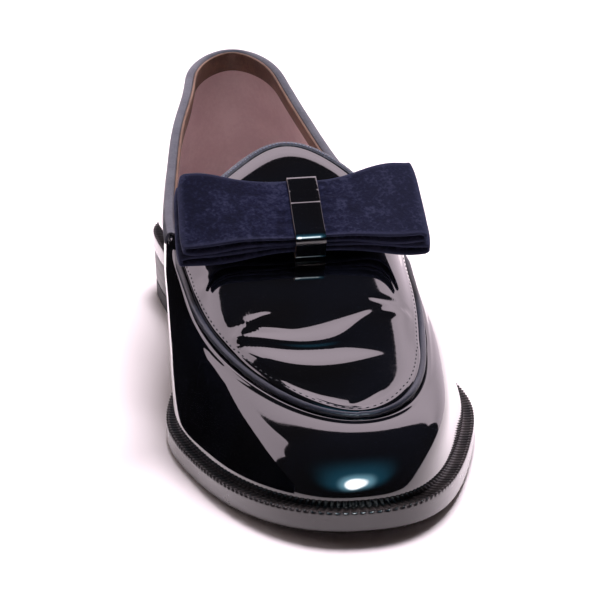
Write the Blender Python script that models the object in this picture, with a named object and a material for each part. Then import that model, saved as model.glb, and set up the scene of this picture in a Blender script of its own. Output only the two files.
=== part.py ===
"""Patent leather loafer for the left foot, standing empty on its sole.

Sizes are in millimetres and turned into metres when a mesh is made. The toe points to -Y,
the inner (medial) side of the foot to -X, and the floor is at z = 0. "From heel" is the
distance along the shoe from the back of the sole, so y = SOLE_LENGTH / 2 - from_heel.
The sole's axis lies AXIS_SHIFT to one side of the middle of the shoe's width, where x = 0 is.
Loops round the shoe are read by "turn": 0 at the heel, pi at the toe, the inner side first.
"""

import math

import bmesh
import bpy
import numpy as np

MM = 0.001
GAP = 0.3

SOLE_LENGTH = 300.0
AXIS_SHIFT = 1.85
OUTSOLE_THICKNESS = 4.0
OUTSOLE_ROUNDING = 0.9
WELT_THICKNESS = 2.7
WELT_SETBACK = 0.4
INSOLE_RISE = 2.2
HEEL_SEAT = 18.6
HEEL_BREAST = 75.0
HEEL_TAPER = 0.6
BREAST_HOLLOW = 3.0
BREAST_POINTS = 8
HEEL_POINTS = 25
TOP_PIECE_THICKNESS = 6.0
TREAD_BACK = 184.0
TREAD_FRONT = 222.0
TOE_SPRING = 3.6

WALL_THICKNESS = 2.0
FEATHER_WALL = 2.3
COLLAR_BACK = 6.5
APRON_TIP = 270.0
CROWN_POWER = 6.0
TONGUE_REACH = 24.5
TONGUE_SHAPE = 2.6
TONGUE_SHIFT = 4.0
APRON_PULL = 16.0
APRON_PULL_SHARE = 0.8
SEAM_DEPTH = 1.1
SEAM_HALF_WIDTH = 2.0
PIPING_RADIUS = 1.15
PIPING_LIFT = 0.65
PIPING_SIDES = 8

BINDING_THICKNESS = 0.8
BINDING_OUTSIDE = 3.3
BINDING_INSIDE = 2.6
BINDING_CORNER = 0.5

BOW_FROM_HEEL = 177.8
BOW_SLOPE = math.radians(22.6)
BOW_CENTRE = 1.2
RIBBON_WIDTH = 33.0
RIBBON_THICKNESS = 1.1
BOW_PINCH = 0.93
PINCH_SHIFT = 0.7
LOOP_OPEN_AT = 0.62
LOOP_TWIST_AT = 0.85
LOOP_TWIST_POWER = 1.5
LOOP_END_POWER = 6
KNOT_WIDTH = 10.0
KNOT_THICKNESS = 1.0
KNOT_ROUNDING = 1.3

# Loops round the shoe have this many columns. The collar's notches are at two of them.
COLUMNS = 88
NOTCH = 24
WALL_ROWS = 6
APRON_ROWS = 8
LOOP_STATIONS = 64
# How far short of the notches the trim ends, in columns.
COLLAR_END = 0.45
TONGUE_END = 9
PIPING_END = 0.75

SHARP_ANGLE = math.radians(40)
SMALL_TURN = 0.01
SMALL_STEP = 0.02


def table(columns, *rows):
    """A dictionary of named columns from rows of numbers."""
    return {name: np.array(values, float) for name, values in zip(columns.split(), zip(*rows))}


# Half widths of the sole on the inner and outer side of its axis, before its ends are rounded.
SOLE = table(
    "from_heel medial lateral",
    (0, 35.0, 32.5),
    (30, 36.2, 33.5),
    (60, 35.2, 34.0),
    (100, 31.0, 36.5),
    (135, 33.5, 42.0),
    (170, 43.6, 50.5),
    (205, 49.4, 52.8),
    (235, 47.8, 48.4),
    (265, 46.0, 44.4),
    (300, 43.4, 43.0),
)
# How far the welt stands out beyond the foot of the upper.
WELT_PROJECTION = table(
    "from_heel medial lateral",
    (0, 2.6, 2.6),
    (60, 2.6, 3.0),
    (110, 2.8, 4.2),
    (170, 3.2, 3.4),
    (215, 2.5, 2.8),
    (255, 2.8, 3.0),
    (300, 3.9, 3.9),
)
# Top edge of the wall: the collar at the back, the apron seam in front of the notches.
RIM = table(
    "from_heel centre half_width medial_z lateral_z",
    (6, -0.5, 14.5, 89.6, 89.6),
    (30, -2.0, 17.6, 86.4, 85.4),
    (50, -2.4, 21.2, 82.2, 78.6),
    (70, -3.2, 25.7, 77.2, 71.6),
    (100, -3.8, 31.0, 68.8, 64.2),
    (130, -3.0, 36.4, 60.9, 57.8),
    (162, -2.0, 39.0, 55.0, 51.6),
    (180, -1.9, 38.2, 51.0, 47.4),
    (205, -1.8, 38.6, 44.8, 41.8),
    (227.5, -0.6, 38.7, 38.6, 36.6),
    (249.5, 2.1, 38.6, 33.1, 32.3),
    (270, 4.4, 38.4, 29.0, 29.0),
)
# Ends of the two loops: how far each end's rounding reaches, and the power of its curve.
SOLE_ENDS = table("reach power", (38.0, 2.2), (103.0, 2.3))
RIM_ENDS = table("reach power", (28.0, 2.0), (98.0, 2.0))
# Height of the apron along its middle, from the tongue down to the toe end of the seam.
RIDGE = table(
    "from_heel z",
    (120, 87.8),
    (140, 79.8),
    (165, 69.4),
    (193, 57.6),
    (220, 46.9),
    (245, 37.4),
    (270, 29.0),
)
# Side profile of the wall: how far its foot pulls outwards and upwards, and how far its top
# edge pulls outwards and downwards.
WALL = table(
    "from_heel medial_out lateral_out rise medial_over lateral_over drop",
    (0, 3.0, 3.0, 18.0, 2.0, 2.0, 22.0),
    (40, 2.6, 3.4, 16.0, 1.8, 3.4, 22.0),
    (100, 7.5, 6.0, 13.0, 2.0, 4.0, 17.0),
    (140, 10.0, 3.0, 12.0, 3.5, 3.5, 14.0),
    (170, 4.5, -2.2, 12.0, 4.0, 4.0, 9.5),
    (205, 0.2, -4.0, 11.0, 5.5, 7.0, 6.2),
    (250, -1.2, -2.2, 10.0, 10.0, 11.5, 4.2),
    (300, -1.2, -1.2, 9.0, 18.0, 18.0, 2.8),
)
# The two ends of the bow, medial then lateral: reach from the knot, lift and twist of the end.
BOW_ENDS = table("reach lift twist", (40.7, 0.8, 8.5), (39.9, 0.6, 11.5))
# The bow's two loops, the lower one first: height of the lower leaf above the apron and the
# loop's thickness, at the knot and at its ends, and how much longer it is at each end.
BOW_LOOPS = table(
    "knot_low knot_thick end_low end_thick longer",
    (1.9, 3.1, 0.4, 4.6, 1.2),
    (5.3, 3.1, 5.3, 4.4, 0.0),
)

# Colour and roughness of each finish.
FINISHES = {
    "patent": ((0.006, 0.008, 0.014), 0.06),
    "piping": ((0.020, 0.026, 0.045), 0.45),
    "binding": ((0.030, 0.036, 0.055), 0.55),
    "suede": ((0.012, 0.014, 0.045), 0.95),
    "lining": ((0.380, 0.230, 0.150), 0.60),
    "welt": ((0.008, 0.007, 0.008), 0.45),
    "sole": ((0.014, 0.010, 0.010), 0.30),
    "rubber": ((0.010, 0.010, 0.010), 0.70),
}

WELT_TOP = OUTSOLE_THICKNESS + GAP + WELT_THICKNESS
UP = np.array([0.0, 0.0, 1.0])
TURNS = 2 * math.pi * np.arange(COLUMNS) / COLUMNS
FRONT = np.arange(NOTCH, COLUMNS - NOTCH + 1)


# Curves and tables


def spline(at, knots, values):
    """Natural cubic spline through the values at the knots, read at the places given."""
    step = np.diff(knots)
    slope = np.diff(values) / step
    system = np.eye(len(knots))
    right = np.zeros(len(knots))
    for i in range(1, len(knots) - 1):
        system[i, i - 1 : i + 2] = step[i - 1], 2 * (step[i - 1] + step[i]), step[i]
        right[i] = 6 * (slope[i] - slope[i - 1])
    bend = np.linalg.solve(system, right)
    at = np.clip(at, knots[0], knots[-1])
    i = np.clip(np.searchsorted(knots, at) - 1, 0, len(knots) - 2)
    a = (knots[i + 1] - at) / step[i]
    b = 1 - a
    curve = ((a**3 - a) * bend[i] + (b**3 - b) * bend[i + 1]) * step[i] ** 2 / 6
    return a * values[i] + b * values[i + 1] + curve


def read(rows, column, from_heel):
    return spline(from_heel, rows["from_heel"], rows[column])


def is_inner(turn):
    return np.mod(turn, 2 * math.pi) < math.pi


def by_side(rows, name, from_heel, turn):
    """The medial column on the inner side of a loop and the lateral column on its outer side."""
    inner = read(rows, name.format("medial"), from_heel)
    outer = read(rows, name.format("lateral"), from_heel)
    return np.where(is_inner(turn), inner, outer)


def along(turn, back, front):
    """Distance from the heel of a loop's point."""
    return back + (front - back) * (1 - np.cos(turn)) / 2


def rounded(from_heel, back, front, ends):
    """1 along the middle of a loop, falling to 0 at its two superellipse ends."""
    from_ends = np.stack([from_heel - back, front - from_heel])
    reach = ends["reach"].reshape(2, *[1] * np.ndim(from_heel))
    power = ends["power"].reshape(2, *[1] * np.ndim(from_heel))
    u = np.clip(1 - from_ends / reach, 0, 1)
    return np.prod((1 - u**power) ** (1 / power), axis=0)


def unit(vectors):
    return vectors / np.linalg.norm(vectors, axis=-1, keepdims=True)


def outward(curve, turn):
    """Unit normals in plan, pointing out of a loop."""
    run = curve(turn + SMALL_TURN) - curve(turn - SMALL_TURN)
    return unit(np.cross(run, UP) * (1, 1, 0))


def y_of(from_heel):
    return SOLE_LENGTH / 2 - from_heel


def heel_distance(points):
    return SOLE_LENGTH / 2 - points[..., 1]


def bump(u):
    """Smooth step from 0 at u = 0 to 1 at u = 1."""
    u = np.clip(u, 0, 1)
    return u * u * (3 - 2 * u)


# Form of the last


def sole_bottom(from_heel):
    """Flat under the heel and the ball, rising through the arch between them and to the toe."""
    arch = np.clip((from_heel - HEEL_BREAST) / (TREAD_BACK - HEEL_BREAST), 0, 1)
    spring = np.clip((from_heel - TREAD_FRONT) / (SOLE_LENGTH - TREAD_FRONT), 0, 1)
    return HEEL_SEAT * (1 + np.cos(math.pi * arch)) / 2 + TOE_SPRING * spring**2


def lifted(points, height):
    """The points, set at a height above the sole's lower surface."""
    return np.column_stack([points[:, :2], sole_bottom(heel_distance(points)) + height])


def sole_edge(turn):
    """Outline of the sole in plan."""
    from_heel = along(turn, 0, SOLE_LENGTH)
    width = by_side(SOLE, "{}", from_heel, turn) * rounded(from_heel, 0, SOLE_LENGTH, SOLE_ENDS)
    return np.column_stack([np.where(is_inner(turn), -width, width), y_of(from_heel), 0 * turn])


def feather(turn, inset=0.0):
    """Line where the wall of the upper meets the welt, or a line set in from it."""
    edge = sole_edge(turn)
    projection = by_side(WELT_PROJECTION, "{}", heel_distance(edge), turn) + inset
    return edge - outward(sole_edge, turn) * projection[:, None]


def rim_width(from_heel):
    return read(RIM, "half_width", from_heel) * rounded(from_heel, COLLAR_BACK, APRON_TIP, RIM_ENDS)


def rim(turn):
    """Top edge of the wall: collar behind the notches, apron seam in front of them."""
    from_heel = along(turn, COLLAR_BACK, APRON_TIP)
    width = rim_width(from_heel)
    x = read(RIM, "centre", from_heel) + np.where(is_inner(turn), -width, width)
    return np.column_stack([x, y_of(from_heel), by_side(RIM, "{}_z", from_heel, turn)])


def wall_frame():
    """The four points that guide the wall's profile in each column, from the feather to the rim."""
    foot = lifted(feather(TURNS), WELT_TOP + GAP)
    top = rim(TURNS)
    from_heel = heel_distance(foot)
    out = by_side(WALL, "{}_out", from_heel, TURNS)[:, None]
    over = by_side(WALL, "{}_over", from_heel, TURNS)[:, None]
    rise = read(WALL, "rise", from_heel)[:, None]
    drop = read(WALL, "drop", from_heel)[:, None]
    low = foot + outward(feather, TURNS) * out + UP * rise
    high = top + outward(rim, TURNS) * over - UP * drop
    return foot, low, high, top


def wall_points():
    """Rows of the upper's side: a cubic profile in each column, with a last row on the rim."""
    foot, low, high, top = wall_frame()
    stop = 1 - SEAM_HALF_WIDTH / (3 * np.linalg.norm(top - high, axis=1))
    v = np.vstack([np.outer(np.arange(WALL_ROWS + 1) / WALL_ROWS, stop), np.ones(COLUMNS)])[..., None]
    return (1 - v) ** 3 * foot + 3 * (1 - v) ** 2 * v * low + 3 * (1 - v) * v**2 * high + v**3 * top


def wall_normals(points):
    round_the_shoe = np.roll(points, -1, axis=1) - np.roll(points, 1, axis=1)
    return unit(np.cross(round_the_shoe, np.gradient(points, axis=0)))


def apron_height(x, y):
    """Flat-topped crown between the two sides of the apron seam, carried on back into the tongue."""
    from_heel = np.minimum(SOLE_LENGTH / 2 - y, APRON_TIP - SMALL_STEP)
    seam = np.maximum(from_heel, along(TURNS[NOTCH], COLLAR_BACK, APRON_TIP))
    u = (x - read(RIM, "centre", seam)) / rim_width(seam)
    medial = read(RIM, "medial_z", seam)
    lateral = read(RIM, "lateral_z", seam)
    edge = medial + (lateral - medial) * (u + 1) / 2
    return read(RIDGE, "z", from_heel) - (read(RIDGE, "z", seam) - edge) * np.abs(u) ** CROWN_POWER


def apron_normals(points):
    x, y = points[..., 0], points[..., 1]
    step = SMALL_STEP
    slope_x = (apron_height(x + step, y) - apron_height(x - step, y)) / (2 * step)
    slope_y = (apron_height(x, y + step) - apron_height(x, y - step)) / (2 * step)
    return unit(np.stack([-slope_x, -slope_y, np.ones_like(x)], axis=-1))


def tongue_edge():
    """Arched edge of the tongue in plan, from the inner notch to the outer one."""
    inner, outer = rim(TURNS[[NOTCH, -NOTCH]])
    half = (outer[0] - inner[0]) / 2
    u = -np.cos(np.linspace(0, math.pi, len(FRONT)))
    x = inner[0] + half * (1 + u) + TONGUE_SHIFT * (1 - u**2)
    y = inner[1] + TONGUE_REACH * (1 - u**2) ** TONGUE_SHAPE
    return np.column_stack([x, y, 0 * u])


def apron_points():
    """Rows of the apron and tongue. In plan, columns leave the seam squarely and bend to the tongue."""
    turn = TURNS[FRONT]
    seam = rim(turn)
    edge = tongue_edge()
    distance = np.linalg.norm((edge - seam)[:, :2], axis=1)
    pull = np.clip(APRON_PULL_SHARE * distance, SEAM_HALF_WIDTH, APRON_PULL)
    inwards = seam - outward(rim, turn) * pull[:, None]
    start = SEAM_HALF_WIDTH / (2 * pull)
    w = (start + np.outer(np.arange(APRON_ROWS + 1) / APRON_ROWS, 1 - start))[..., None]
    points = (1 - w) ** 2 * seam + 2 * w * (1 - w) * inwards + w**2 * edge
    points[..., 2] = apron_height(points[..., 0], points[..., 1])
    return points


# Meshes


def finish_of(name):
    """A plain material of the given finish, made anew for each object."""
    colour, roughness = FINISHES[name]
    material = bpy.data.materials.new(name)
    material.use_nodes = True
    shader = material.node_tree.nodes["Principled BSDF"]
    shader.inputs["Base Color"].default_value = (*colour, 1)
    shader.inputs["Roughness"].default_value = roughness
    shader.inputs["Metallic"].default_value = 0
    return material


def add_piece(name, points, faces, finish):
    """A closed mesh object with its faces turned outwards, in metres, under the shoe's empty."""
    mesh = bpy.data.meshes.new(name)
    shape = bmesh.new()
    corners = [shape.verts.new(point) for point in np.reshape(points, (-1, 3)) * MM]
    for face in faces:
        distinct = [corner for i, corner in enumerate(face) if corner != face[i - 1]]
        if len(distinct) > 2:
            shape.faces.new([corners[corner] for corner in distinct])
    bmesh.ops.recalc_face_normals(shape, faces=shape.faces)
    shape.to_mesh(mesh)
    shape.free()
    mesh.materials.append(finish_of(finish))
    mesh.shade_smooth()
    mesh.set_sharp_from_angle(angle=SHARP_ANGLE)
    piece = bpy.data.objects.new(name, mesh)
    bpy.context.scene.collection.objects.link(piece)
    piece.parent = bpy.data.objects["shoe"]


def strip_faces(index, close_rows=False, close_columns=False):
    """Four-sided faces between neighbours in a grid of point numbers."""
    if close_rows:
        index = np.vstack([index, index[:1]])
    if close_columns:
        index = np.column_stack([index, index[:, :1]])
    quads = np.stack([index[:-1, :-1], index[:-1, 1:], index[1:, 1:], index[1:, :-1]], axis=-1)
    return quads.reshape(-1, 4).tolist()


def add_sweep(name, sections, finish, closed):
    """A solid through a row of cross-sections, joined end to end or closed by flat ends."""
    index = np.arange(sections.shape[0] * sections.shape[1]).reshape(sections.shape[:2])
    faces = strip_faces(index, close_rows=closed, close_columns=True)
    if not closed:
        faces += [index[0].tolist(), index[-1].tolist()]
    add_piece(name, sections, faces, finish)


def add_slab(name, loops, finish):
    """A solid through stacked loops round the shoe, its lower and upper faces laid across it."""
    index = np.arange(len(loops) * COLUMNS).reshape(len(loops), COLUMNS)
    faces = strip_faces(index, close_columns=True)
    for loop in (index[0], index[-1]):
        inner = loop[: COLUMNS // 2 + 1]
        outer = np.roll(loop[::-1], 1)[: COLUMNS // 2 + 1]
        faces += strip_faces(np.stack([inner, outer]))
    add_piece(name, np.array(loops), faces, finish)


def at_column(values, column):
    """Values of a loop's columns, read between them."""
    whole = np.floor(column).astype(int)
    part = (column - whole)[:, None]
    return values[whole % len(values)] * (1 - part) + values[(whole + 1) % len(values)] * part


# Pieces of the shoe


def add_sole():
    """Outsole with a rounded lower edge, the welt on it, and the insole inside the welt."""
    edge = sole_edge(TURNS)
    out = outward(sole_edge, TURNS)
    rounded_edge = lifted(edge - out * OUTSOLE_ROUNDING, 0)
    loops = [rounded_edge, lifted(edge, OUTSOLE_THICKNESS / 2), lifted(edge, OUTSOLE_THICKNESS)]
    add_slab("outsole", loops, "sole")
    low = OUTSOLE_THICKNESS + GAP
    inner = feather(TURNS, FEATHER_WALL)
    outer = edge - out * WELT_SETBACK
    corners = ((inner, low), (outer, low), (outer, WELT_TOP), (inner, WELT_TOP))
    rings = [lifted(ring, height) for ring, height in corners]
    add_sweep("welt", np.stack(rings, axis=1), "welt", closed=True)
    inside = feather(TURNS, FEATHER_WALL + 2 * GAP)
    add_slab("insole", [lifted(inside, low), lifted(inside, WELT_TOP + INSOLE_RISE)], "lining")


def heel_loop(inset, height):
    """Outline of the heel at a height, closed in front by a hollowed breast."""
    reach = math.acos(1 - 2 * HEEL_BREAST / SOLE_LENGTH)
    turn = np.linspace(-reach, reach, HEEL_POINTS)
    edge = sole_edge(turn) - outward(sole_edge, turn) * inset
    u = (np.arange(1, BREAST_POINTS) / BREAST_POINTS)[:, None]
    breast = edge[-1] * (1 - u) + edge[0] * u
    breast[:, 1] += BREAST_HOLLOW * (1 - (2 * u[:, 0] - 1) ** 2)
    return np.vstack([edge, breast]) + UP * height


def add_heel():
    """The piece that meets the floor, and the stack between it and the sole."""
    top_piece = [heel_loop(HEEL_TAPER, 0), heel_loop(HEEL_TAPER, TOP_PIECE_THICKNESS)]
    add_sweep("heel_top_piece", np.stack(top_piece), "rubber", closed=False)
    stack = [heel_loop(HEEL_TAPER, TOP_PIECE_THICKNESS + GAP), heel_loop(GAP, HEEL_SEAT - GAP)]
    add_sweep("heel_stack", np.stack(stack), "sole", closed=False)


def upper_surface():
    """Outer points of the upper with their normals: wall rows round the shoe, then apron rows."""
    wall = wall_points()
    apron = apron_points()
    wall_out = wall_normals(wall)
    apron_out = apron_normals(apron)
    seam = wall_out[-1, FRONT[1:-1]] + apron_normals(wall[-1, FRONT[1:-1]])
    wall_out[-1, FRONT[1:-1]] = unit(seam)
    return wall, wall_out, apron, apron_out


def add_upper(wall, wall_out, apron, apron_out):
    """One shell: outer skin, inner skin, and the edges at the feather, the collar and the tongue."""
    middle = slice(1, len(FRONT) - 1)
    groove = np.zeros(wall.shape[:2] + (1,))
    groove[-1, FRONT[middle]] = SEAM_DEPTH
    outer = [(wall - wall_out * groove).reshape(-1, 3), apron[:, middle].reshape(-1, 3)]
    inside = wall - wall_out * WALL_THICKNESS
    inside[0] = lifted(feather(TURNS, FEATHER_WALL), WELT_TOP + GAP)
    under = apron - apron_out * WALL_THICKNESS
    points = np.vstack([*outer, inside.reshape(-1, 3), under[:, middle].reshape(-1, 3)])

    wall_index = np.arange(wall.shape[0] * COLUMNS).reshape(-1, COLUMNS)
    apron_index = np.tile(wall_index[-1], (APRON_ROWS + 1, 1))
    count = (APRON_ROWS + 1) * len(FRONT[middle])
    apron_index[:, FRONT[middle]] = wall_index.size + np.arange(count).reshape(APRON_ROWS + 1, -1)
    skin = np.vstack([wall_index, apron_index])
    inner_skin = skin + len(points) // 2
    faces = strip_faces(skin, close_columns=True) + strip_faces(inner_skin, close_columns=True)
    for row in (0, -1):
        faces += strip_faces(np.stack([skin[row], inner_skin[row]]), close_columns=True)
    add_piece("upper", points, faces, "patent")


def binding_section():
    """Folded strip over an edge: outwards from the outer skin, and up from the edge."""
    far = GAP + BINDING_THICKNESS
    corner = BINDING_CORNER
    back = -WALL_THICKNESS
    return (
        (GAP, -BINDING_OUTSIDE),
        (far, -BINDING_OUTSIDE),
        (far, far - corner),
        (far - corner, far),
        (back - far + corner, far),
        (back - far, far - corner),
        (back - far, -BINDING_INSIDE),
        (back - GAP, -BINDING_INSIDE),
        (back - GAP, GAP),
        (GAP, GAP),
    )


def add_binding(name, edge, out, up):
    sections = [edge + out * across + up * along_edge for across, along_edge in binding_section()]
    add_sweep(name, np.stack(sections, axis=1), "binding", closed=False)


def add_trim(wall, wall_out, apron, apron_out):
    """Collar and tongue bindings, and the piping laid in the apron seam."""
    last = NOTCH - COLLAR_END
    columns = np.concatenate([[-last], np.arange(1 - NOTCH, NOTCH), [last]])
    up = unit(wall[-1] - wall[-2])
    collar = [at_column(values, columns) for values in (wall[-1], wall_out[-1], up)]
    add_binding("collar_binding", *collar)

    edge = apron[-1]
    run = np.gradient(edge, axis=0)
    up = unit(np.cross(run, apron_out[-1]))
    up = up * np.sign(up[len(edge) // 2, 1])
    part = slice(TONGUE_END, -TONGUE_END)
    add_binding("tongue_binding", edge[part], apron_out[-1, part], up[part])

    columns = np.concatenate([[NOTCH + PIPING_END], FRONT[1:-1], [COLUMNS - NOTCH - PIPING_END]])
    out = unit(at_column(wall_out[-1], columns))
    path = at_column(wall[-1], columns) + out * PIPING_LIFT
    side = unit(np.cross(np.gradient(path, axis=0), out))
    angles = 2 * math.pi * (np.arange(PIPING_SIDES) + 0.5) / PIPING_SIDES
    rings = [path + PIPING_RADIUS * (side * math.cos(a) + out * math.sin(a)) for a in angles]
    add_sweep("apron_piping", np.stack(rings, axis=1), "piping", closed=False)


def bow_place(u, v, w):
    """Point of the bow from its own axes: along the bow, up the instep, and off the apron."""
    middle = np.array([BOW_CENTRE, y_of(BOW_FROM_HEEL), read(RIDGE, "z", np.array([BOW_FROM_HEEL]))[0]])
    up_instep = np.array([0, math.cos(BOW_SLOPE), math.sin(BOW_SLOPE)])
    off = np.array([0, -math.sin(BOW_SLOPE), math.cos(BOW_SLOPE)])
    u, v, w = (np.asarray(value, float)[..., None] for value in (u, v, w))
    return middle + u * np.array([1, 0, 0]) + v * up_instep + w * off


def loop_path(row, shrink, angle):
    """One face of a ribbon loop round its closed path: place along the bow, height, slope across,
    half width, and middle of the width, which sinks where the loop is pinched."""
    across = np.cos(angle)
    side = np.where(across < 0, 0, 1)
    reach = BOW_ENDS["reach"][side]
    start = KNOT_WIDTH / 2 + 1
    opening = bump((np.abs(across) * reach - start) / (LOOP_OPEN_AT * reach - start))
    u = across * (reach + (BOW_LOOPS["longer"][row] - shrink) * across**4)
    low = BOW_LOOPS["knot_low"][row] + opening * (BOW_LOOPS["end_low"][row] - BOW_LOOPS["knot_low"][row])
    thick = BOW_LOOPS["knot_thick"][row]
    thick = thick + opening * (BOW_LOOPS["end_thick"][row] - thick)
    fullness = (1 - np.abs(across) ** LOOP_END_POWER) ** (1 / LOOP_END_POWER)
    lift = BOW_ENDS["lift"][side] * opening
    w = low + thick / 2 + lift + np.sign(np.sin(angle)) * (thick / 2 - shrink) * fullness
    turned = bump((np.abs(across) * reach - start) / (LOOP_TWIST_AT * reach - start)) ** LOOP_TWIST_POWER
    slope = np.tan(np.radians(BOW_ENDS["twist"][side])) * turned
    half = RIBBON_WIDTH / 2 * (BOW_PINCH + (1 - BOW_PINCH) * opening)
    middle = PINCH_SHIFT * (half - RIBBON_WIDTH / 2)
    return u, w, slope, half, middle


def add_bow():
    """Two ribbon loops, one on the other, and the strip that goes round both."""
    angle = 2 * math.pi * (np.arange(LOOP_STATIONS) + 0.5) / LOOP_STATIONS
    for row, name in enumerate(("bow_back_loop", "bow_front_loop")):
        corners = []
        for shrink, across in ((0, (-1, 0, 1)), (RIBBON_THICKNESS, (1, 0, -1))):
            u, w, slope, half, middle = loop_path(row, shrink, angle)
            for place in across:
                v = middle + place * half
                corners.append(bow_place(u, v, w + v * slope))
        add_sweep(name, np.stack(corners, axis=1), "suede", closed=True)

    low = BOW_LOOPS["knot_low"][0] - GAP
    high = BOW_LOOPS["knot_low"][1] + BOW_LOOPS["knot_thick"][1] + GAP
    half = RIBBON_WIDTH / 2 * BOW_PINCH + GAP
    middle = PINCH_SHIFT * RIBBON_WIDTH / 2 * (BOW_PINCH - 1)
    quarter = np.radians(np.linspace(0, 90, 4))
    angle = np.concatenate([quarter + turn * math.pi / 2 for turn in range(4)])
    corner = np.repeat(np.exp(1j * math.pi * (np.arange(4) / 2 + 0.25)), 4)
    corners = []
    for grow, ends in ((0, (-1, 1)), (KNOT_THICKNESS, (1, -1))):
        radius = KNOT_ROUNDING - KNOT_THICKNESS + grow
        v = middle + np.sign(corner.real) * (half + grow - radius) + radius * np.cos(angle)
        w = np.sign(corner.imag) * ((high - low) / 2 + grow - radius) + radius * np.sin(angle)
        corners += [bow_place(end * KNOT_WIDTH / 2 + 0 * v, v, w + (low + high) / 2) for end in ends]
    add_sweep("bow_knot", np.stack(corners, axis=1), "patent", closed=True)


def main():
    for thing in list(bpy.data.objects):
        bpy.data.objects.remove(thing)
    shoe = bpy.data.objects.new("shoe", None)
    shoe.location.x = -AXIS_SHIFT * MM
    bpy.context.scene.collection.objects.link(shoe)
    surface = upper_surface()
    add_upper(*surface)
    add_trim(*surface)
    add_sole()
    add_heel()
    add_bow()


main()
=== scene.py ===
import math

import bpy
import numpy as np
from mathutils import Matrix


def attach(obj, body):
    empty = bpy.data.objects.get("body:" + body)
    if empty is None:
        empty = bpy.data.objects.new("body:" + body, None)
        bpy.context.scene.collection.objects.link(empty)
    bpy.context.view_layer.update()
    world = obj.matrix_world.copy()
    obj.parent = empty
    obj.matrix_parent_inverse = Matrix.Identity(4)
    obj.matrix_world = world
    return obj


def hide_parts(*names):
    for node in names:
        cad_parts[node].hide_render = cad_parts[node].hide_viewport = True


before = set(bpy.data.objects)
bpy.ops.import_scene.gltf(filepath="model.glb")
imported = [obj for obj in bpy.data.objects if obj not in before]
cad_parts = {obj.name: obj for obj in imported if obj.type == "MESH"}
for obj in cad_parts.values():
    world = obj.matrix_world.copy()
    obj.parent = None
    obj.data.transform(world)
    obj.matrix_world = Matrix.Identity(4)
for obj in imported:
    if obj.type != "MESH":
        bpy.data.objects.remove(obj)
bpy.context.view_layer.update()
print("frame:", len(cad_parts), "nodes")

mm = 0.001
upwards = np.array([0.0, 0.0, 1.0])


# Reading tables, and curves

def table(columns, *rows):  # named columns from rows of numbers
    return {name: np.array(values, float) for name, values in zip(columns.split(), zip(*rows))}


def spline(at, knots, values):  # natural cubic spline through the values at the knots
    step = np.diff(knots)
    slope = np.diff(values) / step
    system = np.eye(len(knots))
    right = np.zeros(len(knots))
    for i in range(1, len(knots) - 1):
        system[i, i - 1 : i + 2] = step[i - 1], 2 * (step[i - 1] + step[i]), step[i]
        right[i] = 6 * (slope[i] - slope[i - 1])
    bend = np.linalg.solve(system, right)
    at = np.clip(at, knots[0], knots[-1])
    i = np.clip(np.searchsorted(knots, at) - 1, 0, len(knots) - 2)
    a = (knots[i + 1] - at) / step[i]
    b = 1 - a
    curve = ((a**3 - a) * bend[i] + (b**3 - b) * bend[i + 1]) * step[i] ** 2 / 6
    return a * values[i] + b * values[i + 1] + curve


def readAt(rows, column, fromHeel):  # a column of a table, read smoothly at a distance from the heel
    return spline(fromHeel, rows["fromHeel"], rows[column])


def isInner(turn):  # true on the first half of a loop
    return np.mod(turn, 2 * math.pi) < math.pi


def bySide(rows, name, fromHeel, turn):  # inner column on one half of a loop, outer on the other
    inner = readAt(rows, name.format("inner"), fromHeel)
    outer = readAt(rows, name.format("outer"), fromHeel)
    return np.where(isInner(turn), inner, outer)


def along(turn, back, front):  # distance from the heel: half a cosine from a loop's back to its front
    return back + (front - back) * (1 - np.cos(turn)) / 2


def rounded(fromHeel, back, front, ends):  # 1 along a loop, falling to 0 at two superellipse ends
    fromEnds = np.stack([fromHeel - back, front - fromHeel])
    reach = ends["reach"].reshape(2, *[1] * np.ndim(fromHeel))
    power = ends["power"].reshape(2, *[1] * np.ndim(fromHeel))
    u = np.clip(1 - fromEnds / reach, 0, 1)
    return np.prod((1 - u**power) ** (1 / power), axis=0)


def unit(vectors):  # the vectors, each with the length 1
    return vectors / np.linalg.norm(vectors, axis=-1, keepdims=True)


def outward(curve, turn):  # unit normals in plan, out of a loop
    run = curve(turn + 0.004) - curve(turn - 0.004)
    return unit(np.cross(run, upwards) * (1, 1, 0))


def smooth(u):  # smooth step from 0 to 1
    u = np.clip(u, 0, 1)
    return u * u * (3 - 2 * u)


def hump(distance, width):  # bell of height 1
    return np.exp(-((distance / width) ** 2))


def pathLength(points):  # distance along a row of points
    return np.concatenate([[0], np.cumsum(np.linalg.norm(np.diff(points, axis=0), axis=1))])


def evenly(points, places):  # points of a path at the distances given
    length = pathLength(points)
    return np.stack([np.interp(places, length, points[:, k]) for k in range(3)], axis=1)


# Form of the last, in millimetres: toe to -Y, inner side of the foot to -X, floor at z = 0.
# Loops round the shoe are read by turn: 0 at the heel, pi at the toe, the inner side first.

last = {
    "length": 300.0,
    "axisShift": 1.85,
    "gap": 0.3,
    "outsole": 4.0,
    "welt": 2.7,
    "heelSeat": 18.6,
    "breast": 75.0,
    "treadBack": 184.0,
    "treadFront": 222.0,
    "toeSpring": 3.6,
    "collarBack": 6.5,
    "apronTip": 270.0,
    "tongueReach": 24.5,
    "tongueShape": 2.6,
    "tongueShift": 4.0,
    "crown": 6.0,  # power of the apron's curve across
    "crownInner": (4.0, 190.0, 14.0),  # more of it on the inner side, from where, and over what length
    "notch": 24 / 88 * 2 * math.pi,  # turn at the side notches
}
weltTop = last["outsole"] + last["gap"] + last["welt"]

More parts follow.
